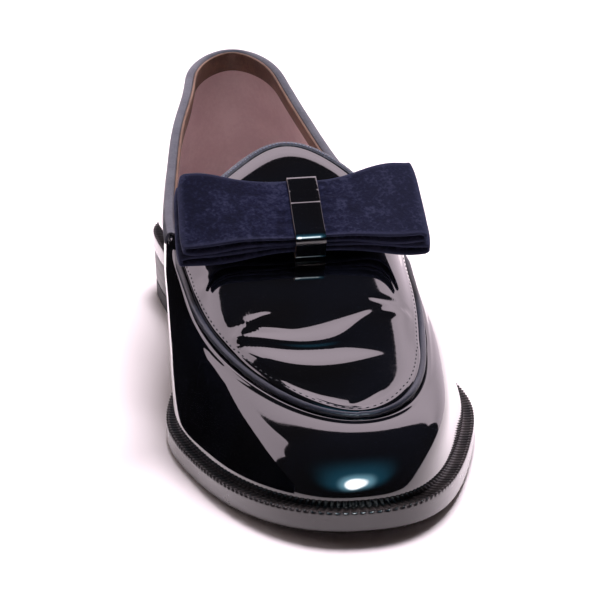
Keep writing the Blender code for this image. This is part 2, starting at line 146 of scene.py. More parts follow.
soleRows = table(
    "fromHeel inner outer",
    (0, 35.0, 32.5),
    (30, 36.2, 33.5),
    (60, 35.2, 34.0),
    (100, 31.0, 36.5),
    (135, 33.5, 42.0),
    (170, 43.6, 50.5),
    (205, 49.4, 52.8),
    (235, 47.8, 48.4),
    (265, 46.0, 44.4),
    (300, 43.4, 43.0),
)
projectionRows = table(
    "fromHeel inner outer",
    (0, 2.6, 2.6),
    (60, 2.6, 3.0),
    (110, 2.8, 4.2),
    (170, 3.2, 3.4),
    (215, 2.5, 2.8),
    (255, 2.8, 3.0),
    (300, 3.9, 3.9),
)
rimRows = table(
    "fromHeel centre halfWidth innerZ outerZ",
    (6, -0.5, 14.5, 89.6, 89.6),
    (30, -2.0, 17.6, 86.4, 85.4),
    (50, -2.4, 21.2, 82.2, 78.6),
    (70, -3.2, 25.7, 77.2, 71.6),
    (100, -3.8, 31.0, 68.8, 64.2),
    (130, -3.0, 36.4, 60.9, 57.8),
    (162, -2.0, 39.0, 55.0, 51.6),
    (180, -1.9, 38.2, 51.0, 47.4),
    (205, -1.8, 38.6, 44.8, 41.8),
    (227.5, -0.6, 38.7, 38.6, 36.6),
    (249.5, 2.1, 38.6, 33.1, 32.3),
    (270, 4.4, 38.4, 29.0, 29.0),
)
soleEnds = table("reach power", (38.0, 2.2), (103.0, 2.3))
rimEnds = table("reach power", (28.0, 2.0), (98.0, 2.0))
ridgeRows = table(
    "fromHeel z",
    (120, 87.8),
    (140, 79.8),
    (165, 69.4),
    (193, 57.6),
    (220, 46.9),
    (245, 37.4),
    (270, 29.0),
)
wallRows = table(
    "fromHeel innerOut outerOut rise innerOver outerOver drop",
    (0, 3.0, 3.0, 18.0, 2.0, 2.0, 22.0),
    (40, 2.6, 3.4, 16.0, 1.8, 3.4, 22.0),
    (100, 7.5, 6.0, 13.0, 2.0, 4.0, 17.0),
    (140, 10.0, 3.0, 12.0, 3.5, 3.5, 14.0),
    (170, 4.5, -2.2, 12.0, 4.0, 4.0, 9.5),
    (205, 0.2, -4.0, 11.0, 5.5, 7.0, 6.2),
    (250, -1.2, -2.2, 10.0, 10.0, 11.5, 4.2),
    (300, -1.2, -1.2, 9.0, 18.0, 18.0, 2.8),
)


def heelDistance(points):  # distance from the back of the heel
    return last["length"] / 2 - points[..., 1]


def soleBottom(fromHeel):  # flat under heel and ball, half a cosine through the arch, a parabola to the toe
    arch = np.clip((fromHeel - last["breast"]) / (last["treadBack"] - last["breast"]), 0, 1)
    spring = np.clip((fromHeel - last["treadFront"]) / (last["length"] - last["treadFront"]), 0, 1)
    return last["heelSeat"] * (1 + np.cos(math.pi * arch)) / 2 + last["toeSpring"] * spring**2


def lifted(points, height):  # the points, at a height above the sole's lower surface
    z = soleBottom(heelDistance(points)) + height
    return np.stack([points[..., 0], points[..., 1], z], axis=-1)


def soleEdge(turn):  # outline of the sole: half widths by side, rounded at both ends
    fromHeel = along(turn, 0, last["length"])
    width = bySide(soleRows, "{}", fromHeel, turn) * rounded(fromHeel, 0, last["length"], soleEnds)
    x = np.where(isInner(turn), -width, width)
    return np.stack([x, last["length"] / 2 - fromHeel, 0 * turn], axis=-1)


def feather(turn, inset=0.0):  # where the wall of the upper meets the welt
    edge = soleEdge(turn)
    projection = bySide(projectionRows, "{}", heelDistance(edge), turn) + inset
    return edge - outward(soleEdge, turn) * projection[..., None]


def rimWidth(fromHeel):  # half width between the sides of the rim, rounded at both ends
    ends = rounded(fromHeel, last["collarBack"], last["apronTip"], rimEnds)
    return readAt(rimRows, "halfWidth", fromHeel) * ends


def rim(turn):  # collar behind the notches, apron seam in front of them
    fromHeel = along(turn, last["collarBack"], last["apronTip"])
    width = rimWidth(fromHeel)
    x = readAt(rimRows, "centre", fromHeel) + np.where(isInner(turn), -width, width)
    z = bySide(rimRows, "{}Z", fromHeel, turn)
    return np.stack([x, last["length"] / 2 - fromHeel, z], axis=-1)


def apronHeight(x, y):  # crowned between the sides of the seam: ridge height less a power of the place across
    fromHeel = np.minimum(last["length"] / 2 - y, last["apronTip"] - 0.02)
    seam = np.maximum(fromHeel, along(last["notch"], last["collarBack"], last["apronTip"]))
    u = (x - readAt(rimRows, "centre", seam)) / rimWidth(seam)
    inner = readAt(rimRows, "innerZ", seam)
    outer = readAt(rimRows, "outerZ", seam)
    edge = inner + (outer - inner) * (u + 1) / 2
    more, start, reach = last["crownInner"]
    power = last["crown"] + more * smooth((fromHeel - start) / reach) * (u < 0)
    return readAt(ridgeRows, "z", fromHeel) - (readAt(ridgeRows, "z", seam) - edge) * np.abs(u) ** power


def apronNormals(points):  # unit normals from the slopes of the apron's height
    x, y = points[..., 0], points[..., 1]
    step = 0.05
    slopeX = (apronHeight(x + step, y) - apronHeight(x - step, y)) / (2 * step)
    slopeY = (apronHeight(x, y + step) - apronHeight(x, y - step)) / (2 * step)
    return unit(np.stack([-slopeX, -slopeY, np.ones_like(x)], axis=-1))


def tongueEdge(count):  # arched edge in plan, from the inner notch to the outer one
    inner, outer = rim(np.array([last["notch"], -last["notch"]]))
    half = (outer[0] - inner[0]) / 2
    u = -np.cos(np.linspace(0, math.pi, count))
    x = inner[0] + half * (1 + u) + last["tongueShift"] * (1 - u**2)
    y = inner[1] + last["tongueReach"] * (1 - u**2) ** last["tongueShape"]
    return np.stack([x, y, 0 * u], axis=-1)


# Meshes from arrays

def gridFaces(index, closeRows=False, closeColumns=False):  # quads between neighbours in a grid of numbers
    if closeRows:
        index = np.concatenate([index, index[:1]], axis=0)
    if closeColumns:
        index = np.concatenate([index, index[:, :1]], axis=1)
    return np.stack([index[:-1, :-1], index[:-1, 1:], index[1:, 1:], index[1:, :-1]], axis=-1).reshape(-1, 4)


def openFaces(quads):  # quads with a doubled corner become triangles, and flat ones are dropped
    low = quads[:, 0] == quads[:, 3]
    high = quads[:, 1] == quads[:, 2]
    whole = quads[~low & ~high].tolist()
    return whole + quads[low & ~high][:, :3].tolist() + quads[high & ~low][:, [0, 1, 3]].tolist()


def signedVolume(mesh):  # sum of the tetrahedra between the origin and every triangle
    mesh.calc_loop_triangles()
    corners = np.empty(3 * len(mesh.loop_triangles), np.int32)
    mesh.loop_triangles.foreach_get("vertices", corners)
    places = np.empty(3 * len(mesh.vertices), np.float32)
    mesh.vertices.foreach_get("co", places)
    a, b, c = places.reshape(-1, 3)[corners.reshape(-1, 3)].astype(float).transpose(1, 0, 2)
    return np.sum(a * np.cross(b, c)) / 6


def addPiece(name, points, faces, materials, nodes=(), places=None, sharp=50, values=None):
    # points in millimetres and faces as lists; places gives each face its material's number
    mesh = bpy.data.meshes.new(name)
    placed = (np.reshape(points, (-1, 3)) - (last["axisShift"], 0, 0)) * mm
    mesh.from_pydata(placed.tolist(), [], faces)
    if signedVolume(mesh) < 0:
        mesh.flip_normals()
    for material in materials:
        mesh.materials.append(material)
    if places is not None:
        mesh.polygons.foreach_set("material_index", np.asarray(places, np.int32))
    for attribute, value in (values or {}).items():
        layer = mesh.attributes.new(attribute, "FLOAT", "POINT")
        layer.data.foreach_set("value", np.asarray(value, np.float32).ravel())
    mesh.shade_smooth()
    mesh.set_sharp_from_angle(angle=math.radians(sharp))
    mesh.update()
    piece = bpy.data.objects.new(name, mesh)
    bpy.context.scene.collection.objects.link(piece)
    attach(piece, "root")
    if nodes:
        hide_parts(*nodes)
    print("piece:", name, len(faces), "faces")
    return piece


def sweepFaces(count, ring, closed):  # faces of a profile carried along a path, with its ends filled
    index = np.arange(count * ring).reshape(count, ring)
    faces = gridFaces(index, closeRows=closed, closeColumns=True).tolist()
    return faces if closed else faces + [index[0, ::-1].tolist(), index[-1].tolist()]


# Shader maths: a socket with operators

class Signal:
    # wraps an output socket; + - * and ** on values add Math nodes
    def __init__(self, tree, socket):
        self.tree = tree
        self.socket = socket

    def node(self, kind, settings=None, sockets=None, out=0):  # any other node: type, settings, sockets
        made = self.tree.nodes.new("ShaderNode" + kind)
        for name, value in (settings or {}).items():
            setattr(made, name, value)
        for name, value in (sockets or {}).items():
            if isinstance(value, Signal):
                self.tree.links.new(value.socket, made.inputs[name])
            else:
                made.inputs[name].default_value = value
        return Signal(self.tree, made.outputs[out])

    def math(self, operation, first, second=0.0):
        return self.node("Math", {"operation": operation}, {0: first, 1: second})

    def __add__(self, other):
        return self.math("ADD", self, other)

    def __radd__(self, other):
        return self.math("ADD", other, self)

    def __sub__(self, other):
        return self.math("SUBTRACT", self, other)

    def __rsub__(self, other):
        return self.math("SUBTRACT", other, self)

    def __mul__(self, other):
        return self.math("MULTIPLY", self, other)

    def __rmul__(self, other):
        return self.math("MULTIPLY", other, self)

    def __pow__(self, other):
        return self.math("POWER", self, other)

    def step(self, low, high, bottom=0.0, top=1.0):  # smooth step of a value between two limits
        sockets = {"Value": self, "From Min": low, "From Max": high, "To Min": bottom, "To Max": top}
        return self.node("MapRange", {"interpolation_type": "SMOOTHSTEP"}, sockets)

    def blend(self, first, second):  # colour between two, by this value
        return self.node("Mix", {"data_type": "RGBA"}, {0: self, 6: first, 7: second}, out=2)

    def noise(self, scale, detail=2.0, roughness=0.5, distortion=0.0):  # noise at this place
        sockets = {"Vector": self, "Scale": scale, "Detail": detail, "Roughness": roughness}
        return self.node("TexNoise", {}, {**sockets, "Distortion": distortion})

    def stretched(self, *scale):  # this place with its axes scaled
        return self.node("Mapping", {}, {"Vector": self, "Scale": scale})

    def attribute(self, name):  # a value kept at the mesh's points
        return self.node("Attribute", {"attribute_name": name}, out=2)


class Finish:
    # a Principled material; place is the piece's own coordinates
    def __init__(self, name, **constants):
        self.material = bpy.data.materials.new(name)
        self.material.use_nodes = True
        self.tree = self.material.node_tree
        self.shader = self.tree.nodes["Principled BSDF"]
        self.place = Signal(self.tree, None).node("TexCoord", out=3)
        for socket, value in constants.items():
            self.shader.inputs[socket.replace("_", " ")].default_value = value

    def drive(self, socket, signal):  # link a signal to the shader
        self.tree.links.new(signal.socket, self.shader.inputs[socket])

    def bump(self, height, distance, strength=1.0):  # fine relief from a height
        made = height.node("Bump", {}, {"Height": height, "Distance": distance, "Strength": strength})
        self.drive("Normal", made)


def shade(red, green, blue):  # colour for a socket
    return (red, green, blue, 1.0)


patentLook = {
    "black": shade(0.0018, 0.0019, 0.0026),
    "navy": shade(0.0026, 0.0034, 0.0062),
    "roughness": 0.05,
    "creased": 0.05,  # roughness added along the creases
    "dusty": 0.03,  # roughness added by specks of dust
    "peel": (0.00006, 0.16),  # depth and strength of the orange peel
}


def patentFinish():
    # black-navy lacquer: mirror gloss, faint orange peel, softer along the creases
    look = patentLook
    finish = Finish("patentLeather", IOR=1.55, Coat_Weight=1.0, Coat_Roughness=0.035, Coat_IOR=1.6)
    broad = finish.place.noise(28, 2)
    finish.drive("Base Color", broad.step(0.35, 0.7).blend(look["black"], look["navy"]))
    dust = finish.place.noise(1500, 1).step(0.70, 0.80)
    worn = finish.place.attribute("crease").step(0.2, 1.0)
    finish.drive("Roughness", look["roughness"] + look["creased"] * worn + look["dusty"] * dust)
    peel = finish.place.noise(420, 2) + 3.0 * finish.place.noise(70, 1)
    finish.bump(peel, *look["peel"])
    return finish.material


suedeLook = {
    "deep": shade(0.0020, 0.0024, 0.0095),
    "mid": shade(0.0080, 0.0092, 0.030),
    "pale": shade(0.030, 0.033, 0.066),
    "sheen": shade(0.45, 0.5, 0.85),
    # tone is the mottling's share; rims is a painted highlight, ends takes painted shade off away from the
    # strip, and the last is painted light on the outer wing
    "paler": {"tone": 0.56, "rims": 0.6, "ends": 0.16, "paintedWingLight": 0.20},  # shares that make it paler
    "fibres": (0.00018, 0.8),  # depth and strength
}


def suedeFinish():
    # napped ribbon: soft brushed mottling and a fine grain; painted highlights make the rims pale, painted
    # shade darkens it near the strip, and painted light makes the outer wing paler
    look, paler = suedeLook, suedeLook["paler"]
    sheen = {"Sheen_Weight": 0.10, "Sheen_Roughness": 0.5, "Sheen_Tint": look["sheen"]}
    finish = Finish("suedeRibbon", Roughness=0.95, Specular_IOR_Level=0.1, **sheen)
    brushed = finish.place.stretched(1, 0.6, 1).noise(120, 3, 0.6, 0.6)
    grain = finish.place.noise(800, 2, 0.6)
    fibres = finish.place.noise(1900, 2, 0.7)
    across = finish.place.node("SeparateXYZ", {}, {"Vector": finish.place})
    # painted shade near the strip: paler further from the middle, and painted light: paler towards the outer
    # wing
    ends = (across * across).step(0.00005, 0.0008)
    paintedWingLight = across.step(-0.01, 0.02)
    paintedShadeAndLight = paler["ends"] * ends + paler["paintedWingLight"] * paintedWingLight
    tone = 0.52 * brushed + 0.48 * grain
    base = tone.step(0.38, 0.60).blend(look["deep"], look["mid"])
    # painted highlight on the rims and at the loop ends, kept at the points
    rims = finish.place.attribute("rim")
    share = paler["tone"] * tone.step(0.48, 0.66) + paler["rims"] * rims + paintedShadeAndLight
    finish.drive("Base Color", share.step(0.0, 1.0).blend(base, look["pale"]))
    finish.bump(fibres + 0.8 * grain, *look["fibres"])
    return finish.material


leatherLooks = {  # dark shade, light shade, roughness, and the grain's scale and depth
    "bindingLeather": (shade(0.046, 0.051, 0.070), shade(0.094, 0.100, 0.124), 0.42, 900, 0.00008),
    "pipingLeather": (shade(0.022, 0.026, 0.040), shade(0.048, 0.054, 0.075), 0.34, 1100, 0.00005),
    "liningLeather": (shade(0.76, 0.62, 0.63), shade(0.85, 0.72, 0.72), 0.6, 700, 0.0001),
    "liningEdge": (shade(0.13, 0.075, 0.055), shade(0.22, 0.13, 0.095), 0.6, 900, 0.0001),
    "weltLeather": (shade(0.010, 0.008, 0.008), shade(0.040, 0.032, 0.031), 0.34, 1300, 0.00006),
    "heelRubber": (shade(0.008, 0.008, 0.009), shade(0.022, 0.021, 0.021), 0.62, 1500, 0.00008),
    "cutEdge": (shade(0.09, 0.05, 0.035), shade(0.16, 0.10, 0.07), 0.6, 1600, 0.00005),
}


def leatherFinish(name, dark, light, roughness, grain, depth):
    # plain dyed leather: pebbled grain and a slow change of shade
    finish = Finish(name, Specular_IOR_Level=0.45)
    slow = finish.place.noise(90, 3)
    fine = finish.place.noise(grain, 3, 0.6)
    finish.drive("Base Color", (0.6 * slow + 0.4 * fine).step(0.35, 0.68).blend(dark, light))
    finish.drive("Roughness", roughness + 0.18 * (fine - 0.5))
    sockets = {"Vector": finish.place, "Scale": grain}
    pebbles = finish.place.node("TexVoronoi", {"feature": "SMOOTH_F1"}, sockets)
    finish.bump(pebbles + 0.5 * fine, depth)
    return finish.material


soleLooks = {  # dark shade, light shade, roughness, how far the streaks are drawn out, and the coat
    "soleLeather": (shade(0.010, 0.008, 0.009), shade(0.030, 0.020, 0.018), 0.3, 6.0, 0.85),
    "heelLeather": (shade(0.008, 0.007, 0.008), shade(0.030, 0.020, 0.016), 0.45, 8.0, 0.12),
}


def soleFinish(name, dark, light, roughness, streak, coat):
    # inked and waxed edge: streaks run along the sole, with rubbed spots
    finish = Finish(name, Coat_Weight=coat, Coat_Roughness=0.07, Coat_IOR=1.6)
    streaks = finish.place.stretched(1, 1, streak).noise(160, 3, 0.6)
    rubbed = finish.place.noise(45, 4, 0.6).step(0.62, 0.8)
    finish.drive("Base Color", (0.5 * streaks + 0.5 * rubbed).step(0.25, 1.2).blend(dark, light))
    finish.drive("Roughness", roughness + 0.15 * (streaks - 0.5) + 0.05 * rubbed)
    finish.bump(streaks + finish.place.noise(1200, 2), 0.00001, 0.5)
    return finish.material


threadShades = {"darkThread": shade(0.020, 0.022, 0.030), "greyThread": shade(0.34, 0.41, 0.56)}


def threadFinish(name, colour):
    # twisted thread: fine flecks darker and smoother than the rest
    finish = Finish(name, Specular_IOR_Level=0.3, Sheen_Weight=0.2)
    twist = finish.place.noise(2600, 2)
    dark = shade(*(0.45 * c for c in colour[:3]))
    finish.drive("Base Color", twist.step(0.3, 0.7).blend(dark, colour))
    finish.drive("Roughness", 0.55 + 0.3 * twist)
    return finish.material


patent = patentFinish()
suede = suedeFinish()
leather = {name: leatherFinish(name, *look) for name, look in leatherLooks.items()}
leather.update({name: soleFinish(name, *look) for name, look in soleLooks.items()})
thread = {name: threadFinish(name, colour) for name, colour in threadShades.items()}
print("finishes ready")


# Upper: one shell, outside patent leather and inside lining

upperSizes = {
    "columns": 352,
    "wallRows": 30,
    "wallRowPower": 1.4,  # above 1 the rows lie closer towards the foot
    "seamRows": 16,
    "apronSeamRows": 22,
    "apronRows": 132,
    "thickness": 2.0,
    "featherWall": 2.3,
    "seamReach": 6.0,
    "seamShare": 0.6,  # the most of an apron column that the close rows take
    "seamFade": 6.0,  # columns from each notch over which the seam's relief starts
    "groove": (1.25, 1.3),  # depth and width under the piping
    "lip": (0.55, 1.9, 2.3),  # height, distance from the seam, width
    "stitchLine": (0.08, 2.9, 0.5),  # depth, distance from the seam, width
    "vampLip": (0.3, 2.6, 1.0),
    "pull": (0.8, 2.0, 16.0),  # how far the apron runs squarely off the seam: share of the way, least, most
    "turnUp": (1.0, 8.5),  # how far the apron's edge rises at the front of the seam, over what width
    "turnUpFrom": (226.0, 14.0),  # where that starts, and over what length
    "tongueRoll": (0.15, 9.0, 2.0),  # slope of the tongue's edge, over what width, and how softly it bends
    "tongueEnds": 50.0,  # columns over which the slope fades at both ends
    "foldsFrom": (3.0, 3.6),  # distance from the seam where folds and creases start, over what width
    "creaseFade": 0.3,  # share of a small crease's length that fades at each end
    "creaseWear": 1.3,  # width of the worn band, as a share of the crease's own
    "apronRipple": 0.07,
    "wallRipple": (0.05, 12.0),  # height, and over what distance from the rim it starts
    "drapes": (0.07, 8.0),  # the same for the fine drapes at the inner waist
    "waist": (120.0, 55.0),  # where those are, and over what length
    "sink": 0.35,  # the wall's foot is let into the welt
    "footTuck": (0.9, 1.7),  # how far the foot is drawn in, over what height
}
# folds across the apron: at each place across, where the leather starts to rise, its crest, where the
# fall ends, and how high the crest is
foldRows = (
    table(
        "across start crest end height",
        (-36, 222.0, 225.0, 227.0, 0.0),
        (-30, 225.0, 227.5, 229.5, 0.35),
        (-20, 226.5, 231.0, 233.5, 0.50),
        (-10, 226.0, 234.0, 236.0, 0.65),
        (-3, 224.5, 234.5, 236.5, 0.75),
        (6, 222.0, 231.0, 236.0, 0.75),
        (12, 220.5, 225.0, 235.0, 0.35),
        (18, 218.0, 221.0, 235.0, 0.0),
    ),
    table(
        "across start crest end height",
        (-36, 226.0, 231.0, 238.0, 0.3),
        (-30, 229.0, 236.0, 247.0, 0.75),
        (-24, 231.5, 239.5, 252.0, 0.85),
        (-14, 235.0, 244.0, 258.0, 0.85),
        (0, 235.5, 246.0, 260.0, 0.80),
        (9, 237.0, 244.0, 259.0, 0.48),
        (15, 239.0, 242.0, 256.0, 0.10),
        (18, 240.0, 241.5, 254.0, 0.0),
    ),
    table(
        "across start crest end height",
        (-31, 225.0, 227.0, 229.0, 0.0),
        (-27, 222.5, 226.0, 228.0, 0.30),
        (-23, 219.5, 223.0, 225.0, 0.35),
        (-19, 218.0, 220.0, 222.0, 0.25),
        (-15, 217.5, 218.5, 220.0, 0.0),
    ),
)
# small creases: ends as across and fromHeel, sideways bow, width, depth (a ridge is negative)
creaseRows = table(
    "x0 d0 x1 d1 bowed width depth",
    (-35, 222, -20, 211, 2.2, 1.2, 0.16),
    (-34, 222, -8, 227, -0.6, 1.1, 0.14),
    (-38, 197, -27, 196, 0.4, 1.4, 0.16),
    (15, 213, 33, 216, 0.4, 1.1, 0.22),
    (18, 222, 32, 218, -0.6, 1.6, -0.16),
    (-24, 246, -4, 254, 0.8, 1.1, 0.14),
    (-2, 266, 14, 256, 1.0, 1.1, 0.16),
    (-6, 267, 18, 264, 0.8, 1.1, -0.12),
)


def foldHeight(rows, x, fromHeel):  # smooth rise from the start to the crest, then a smooth fall to the end
    across, *columns = rows.values()
    start, crest, end, height = (spline(x, across, column) for column in columns)
    rise = smooth((fromHeel - start) / (crest - start))
    return np.maximum(height, 0) * (rise - smooth((fromHeel - crest) / (end - crest)))


def creaseHeight(x, fromHeel):
    # the folds, and each small crease as a bell across a bowed line, faded towards its ends
    height = sum(foldHeight(rows, x, fromHeel) for rows in foldRows)
    weight = np.zeros_like(x)
    for x0, d0, x1, d1, bowed, width, depth in zip(*creaseRows.values()):
        run = math.hypot(x1 - x0, d1 - d0)
        place = ((x - x0) * (x1 - x0) + (fromHeel - d0) * (d1 - d0)) / run**2
        off = ((fromHeel - d0) * (x1 - x0) - (x - x0) * (d1 - d0)) / run
        off = off - bowed * 4 * place * (1 - place)
        fade = smooth(place / upperSizes["creaseFade"]) * smooth((1 - place) / upperSizes["creaseFade"])
        height = height - depth * fade * hump(off, width)
        weight += abs(depth) * fade * hump(off, upperSizes["creaseWear"] * width)
    return height, weight


def ripple(x, y, z):  # slow unevenness of stretched leather: a few crossed sine waves
    first = np.sin(x / 7.3 + 1.7 * np.sin(y / 31.0)) * np.sin(y / 17.0 + 0.6)
    second = np.sin(y / 11.0 + z / 9.0 + 2.1) * np.sin(x / 13.0 - 0.4)
    return first + 0.8 * second


def seamProfile(distance, side):  # height beside the piping's seam, at a distance from it
    depth, width = upperSizes["groove"]
    height = -depth * hump(distance, width)
    if side == "apron":
        lip, lipAt, lipWidth = upperSizes["lip"]
        line, lineAt, lineWidth = upperSizes["stitchLine"]
        return height + lip * hump(distance - lipAt, lipWidth) - line * hump(distance - lineAt, lineWidth)
    lip, lipAt, lipWidth = upperSizes["vampLip"]
    return height + lip * hump(distance - lipAt, lipWidth)


def wallGrid(turn):
    # cubic profile in each column from the feather to the rim, with close rows along the rim
    foot = lifted(feather(turn), weltTop + last["gap"] - upperSizes["sink"])
    top = rim(turn)
    fromHeel = heelDistance(foot)
    out = bySide(wallRows, "{}Out", fromHeel, turn)[:, None]
    over = bySide(wallRows, "{}Over", fromHeel, turn)[:, None]
    low = foot + outward(feather, turn) * out + upwards * readAt(wallRows, "rise", fromHeel)[:, None]
    high = top + outward(rim, turn) * over - upwards * readAt(wallRows, "drop", fromHeel)[:, None]
    close = 1 - upperSizes["seamReach"] / (3 * np.linalg.norm(top - high, axis=1))
    share = (np.arange(upperSizes["wallRows"]) / upperSizes["wallRows"]) ** upperSizes["wallRowPower"]
    coarse = np.outer(share, close)
    fine = close + np.outer(np.linspace(0, 1, upperSizes["seamRows"] + 1), 1 - close)
    v = np.concatenate([coarse, fine])[..., None]
    return (1 - v) ** 3 * foot + 3 * (1 - v) ** 2 * v * low + 3 * (1 - v) * v**2 * high + v**3 * top


def apronGrid(turn):
    # in plan a quadratic curve leaves the seam squarely and bends to the tongue's edge, where the
    # leather slopes down behind a soft bend
    seam = rim(turn)
    edge = tongueEdge(len(turn))
    share, least, most = upperSizes["pull"]
    pull = np.clip(share * np.linalg.norm((edge - seam)[:, :2], axis=1), least, most)
    inwards = seam - outward(rim, turn) * pull[:, None]
    close = np.clip(upperSizes["seamReach"] / (2 * pull), 0, upperSizes["seamShare"])
    fine = np.outer(np.arange(upperSizes["apronSeamRows"]) / upperSizes["apronSeamRows"], close)
    coarse = close + np.outer(np.linspace(0, 1, upperSizes["apronRows"] + 1), 1 - close)
    w = np.concatenate([fine, coarse])[..., None]
    points = (1 - w) ** 2 * seam + 2 * w * (1 - w) * inwards + w**2 * edge
    points[..., 2] = apronHeight(points[..., 0], points[..., 1])
    slope, width, bend = upperSizes["tongueRoll"]
    fromBend = np.clip(width - columnGap(points[::-1])[::-1], 0, None)
    column = np.arange(len(turn))
    ends = smooth(np.minimum(column, column[::-1]) / upperSizes["tongueEnds"])
    points[..., 2] -= slope * (np.hypot(fromBend, bend) - bend) * ends
    return points


def columnGap(points):  # distance along each column from its first row
    steps = np.linalg.norm(np.diff(points, axis=0), axis=2)
    return np.concatenate([np.zeros((1, points.shape[1])), np.cumsum(steps, axis=0)])


def upperSurface():
    # wall and apron without relief, and their unit normals, which agree along the seam
    columns = upperSizes["columns"]
    turn = 2 * math.pi * np.arange(columns) / columns
    notch = round(columns * last["notch"] / (2 * math.pi))
    front = np.arange(notch, columns - notch + 1)
    wall = wallGrid(turn)
    apron = apronGrid(turn[front])
    roundShoe = np.roll(wall, -1, axis=1) - np.roll(wall, 1, axis=1)
    wallOut = unit(np.cross(roundShoe, np.gradient(wall, axis=0)))
    apronOut = apronNormals(apron)
    inner = slice(1, len(front) - 1)
    seamOut = unit(wallOut[-1, front[inner]] + apronOut[0, inner])
    wallOut[-1, front[inner]] = seamOut
    apronOut[0, inner] = seamOut
    return dict(turn=turn, front=front, wall=wall, wallOut=wallOut, apron=apron, apronOut=apronOut)


def seamFade(front):  # the seam's relief starts a little way from each notch
    return smooth(np.minimum(front - front[0], front[-1] - front) / upperSizes["seamFade"])


def apronRelief(surface):
    # height over the plain apron: the seam's profile, the turned-up edge, folds and creases, a slow ripple
    front, apron = surface["front"], surface["apron"]
    gap = columnGap(apron)
    crease, weight = creaseHeight(apron[..., 0], heelDistance(apron))
    start, width = upperSizes["foldsFrom"]
    inside = smooth((gap - start) / width)
    height, width = upperSizes["turnUp"]
    start, length = upperSizes["turnUpFrom"]
    turnUp = smooth((heelDistance(apron[0]) - start) / length) * height * np.clip(1 - gap / width, 0, 1) ** 2
    slow = upperSizes["apronRipple"] * ripple(*np.moveaxis(apron, 2, 0))
    lift = seamProfile(gap, "apron") * seamFade(front) + turnUp + (crease + slow) * inside
    return lift, weight * inside


def wallRelief(surface):
    # height over the plain wall: the seam's profile, the foot drawn in, a slow ripple, the waist's drapes
    turn, front, wall = surface["turn"], surface["front"], surface["wall"]
    fade = np.zeros(len(turn))
    fade[front] = seamFade(front)
    gap = columnGap(wall[::-1])[::-1]
    tuck, tuckWidth = upperSizes["footTuck"]
    height, start = upperSizes["wallRipple"]
    drape, drapeStart = upperSizes["drapes"]
    middle, length = upperSizes["waist"]
    waist = hump(heelDistance(wall) - middle, length) * isInner(turn)[None, :]
    drapes = np.sin(wall[..., 2] / 2.1 + wall[..., 1] / 23.0) * smooth(gap / drapeStart) * waist
    lift = seamProfile(gap, "vamp") * fade - tuck * hump(columnGap(wall), tuckWidth)
    return lift + height * ripple(*np.moveaxis(wall, 2, 0)) * smooth(gap / start) + drape * drapes


def buildUpper(surface):
    # outer skin with its relief, inner skin a leather's thickness under it, joined at the foot and the collar
    turn, front, wall, wallOut, apron, apronOut = surface.values()
    columns = len(turn)
    inner = slice(1, len(front) - 1)
    outer = wall + wallOut * wallRelief(surface)[..., None]
    lift, creased = apronRelief(surface)
    outerApron = apron + apronOut * lift[..., None]

    under = wall - wallOut * upperSizes["thickness"]
    under[0] = lifted(feather(turn, upperSizes["featherWall"]), weltTop + last["gap"] - upperSizes["sink"])
    underApron = apron - apronOut * upperSizes["thickness"]
    skins = [outer, outerApron[1:, inner], under, underApron[1:, inner]]
    points = np.concatenate([skin.reshape(-1, 3) for skin in skins])
    creased = np.concatenate([np.zeros(outer.shape[0] * columns), creased[1:, inner].ravel()])

    wallIndex = np.arange(outer.shape[0] * columns).reshape(-1, columns)
    apronIndex = np.tile(wallIndex[-1], (len(apron) - 1, 1))
    shape = outerApron[1:, inner].shape[:2]
    apronIndex[:, front[inner]] = wallIndex.size + np.arange(shape[0] * shape[1]).reshape(shape)
    skin = np.concatenate([wallIndex, apronIndex])
    lining = skin + len(points) // 2
    outFaces = openFaces(gridFaces(skin, closeColumns=True))
    inFaces = openFaces(gridFaces(lining[::-1], closeColumns=True))
    foot = gridFaces(np.stack([lining[0], skin[0]]), closeColumns=True).tolist()
    collar = gridFaces(np.stack([skin[-1], lining[-1]]), closeColumns=True).tolist()
    faces = outFaces + foot + collar + inFaces
    places = np.repeat([0, 1], [len(outFaces) + len(foot) + len(collar), len(inFaces)])
    values = {"crease": np.concatenate([creased, 0 * creased])}
    materials = [patent, leather["liningLeather"]]
    addPiece("patentUpper", points, faces, materials, ["upper"], places, 60, values)


surface = upperSurface()
buildUpper(surface)


# Trim: profiles carried along the edges of the upper

trimSizes = {
    "pipingRadius": 1.08,
    "pipingLift": 0.55,
    "pipingSides": 20,
    "pipingRings": 700,
    "pipingTaper": (14.0, 0.4, 1.1),  # drawn-in ends: length, share of the radius, how far they sink
    "pipingEnd": 3,  # columns left bare at each end
    "collarEnd": 2,
    "tongueEnd": 36,
    "collarOutside": 3.3,
    "tongueOutside": 1.7,
    "tongueThin": 0.6,  # the tongue's binding is pressed thinner than the collar's
    "bindingOver": 1.1,
    "liningDepth": 7.0,
}
stitchSizes = {
    "rings": 7,
    "sides": 6,
    "apron": (0.62, 0.24, 0.12),  # half the length, width and height
    "apronPitch": 2.5,
    "apronEnd": 8,  # columns left bare at each end
    "tongue": (0.42, 0.26, 0.22),
    "tonguePitch": 1.35,
    "tongueAt": (1.2, 0.7),  # on the binding: off the leather, and back from its edge
    "tongueTilt": 0.35,
}


def carried(path, out, up, profile):  # a profile of (outwards, upwards) pairs at every point of a path
    return path[:, None] + out[:, None] * profile[None, :, :1] + up[:, None] * profile[None, :, 1:]


def arc(centre, radius, start, end, count):  # arc of an ellipse, angles in degrees
    angle = np.radians(np.linspace(start, end, count))
    return np.stack([centre[0] + radius[0] * np.cos(angle), centre[1] + radius[1] * np.sin(angle)], axis=1)


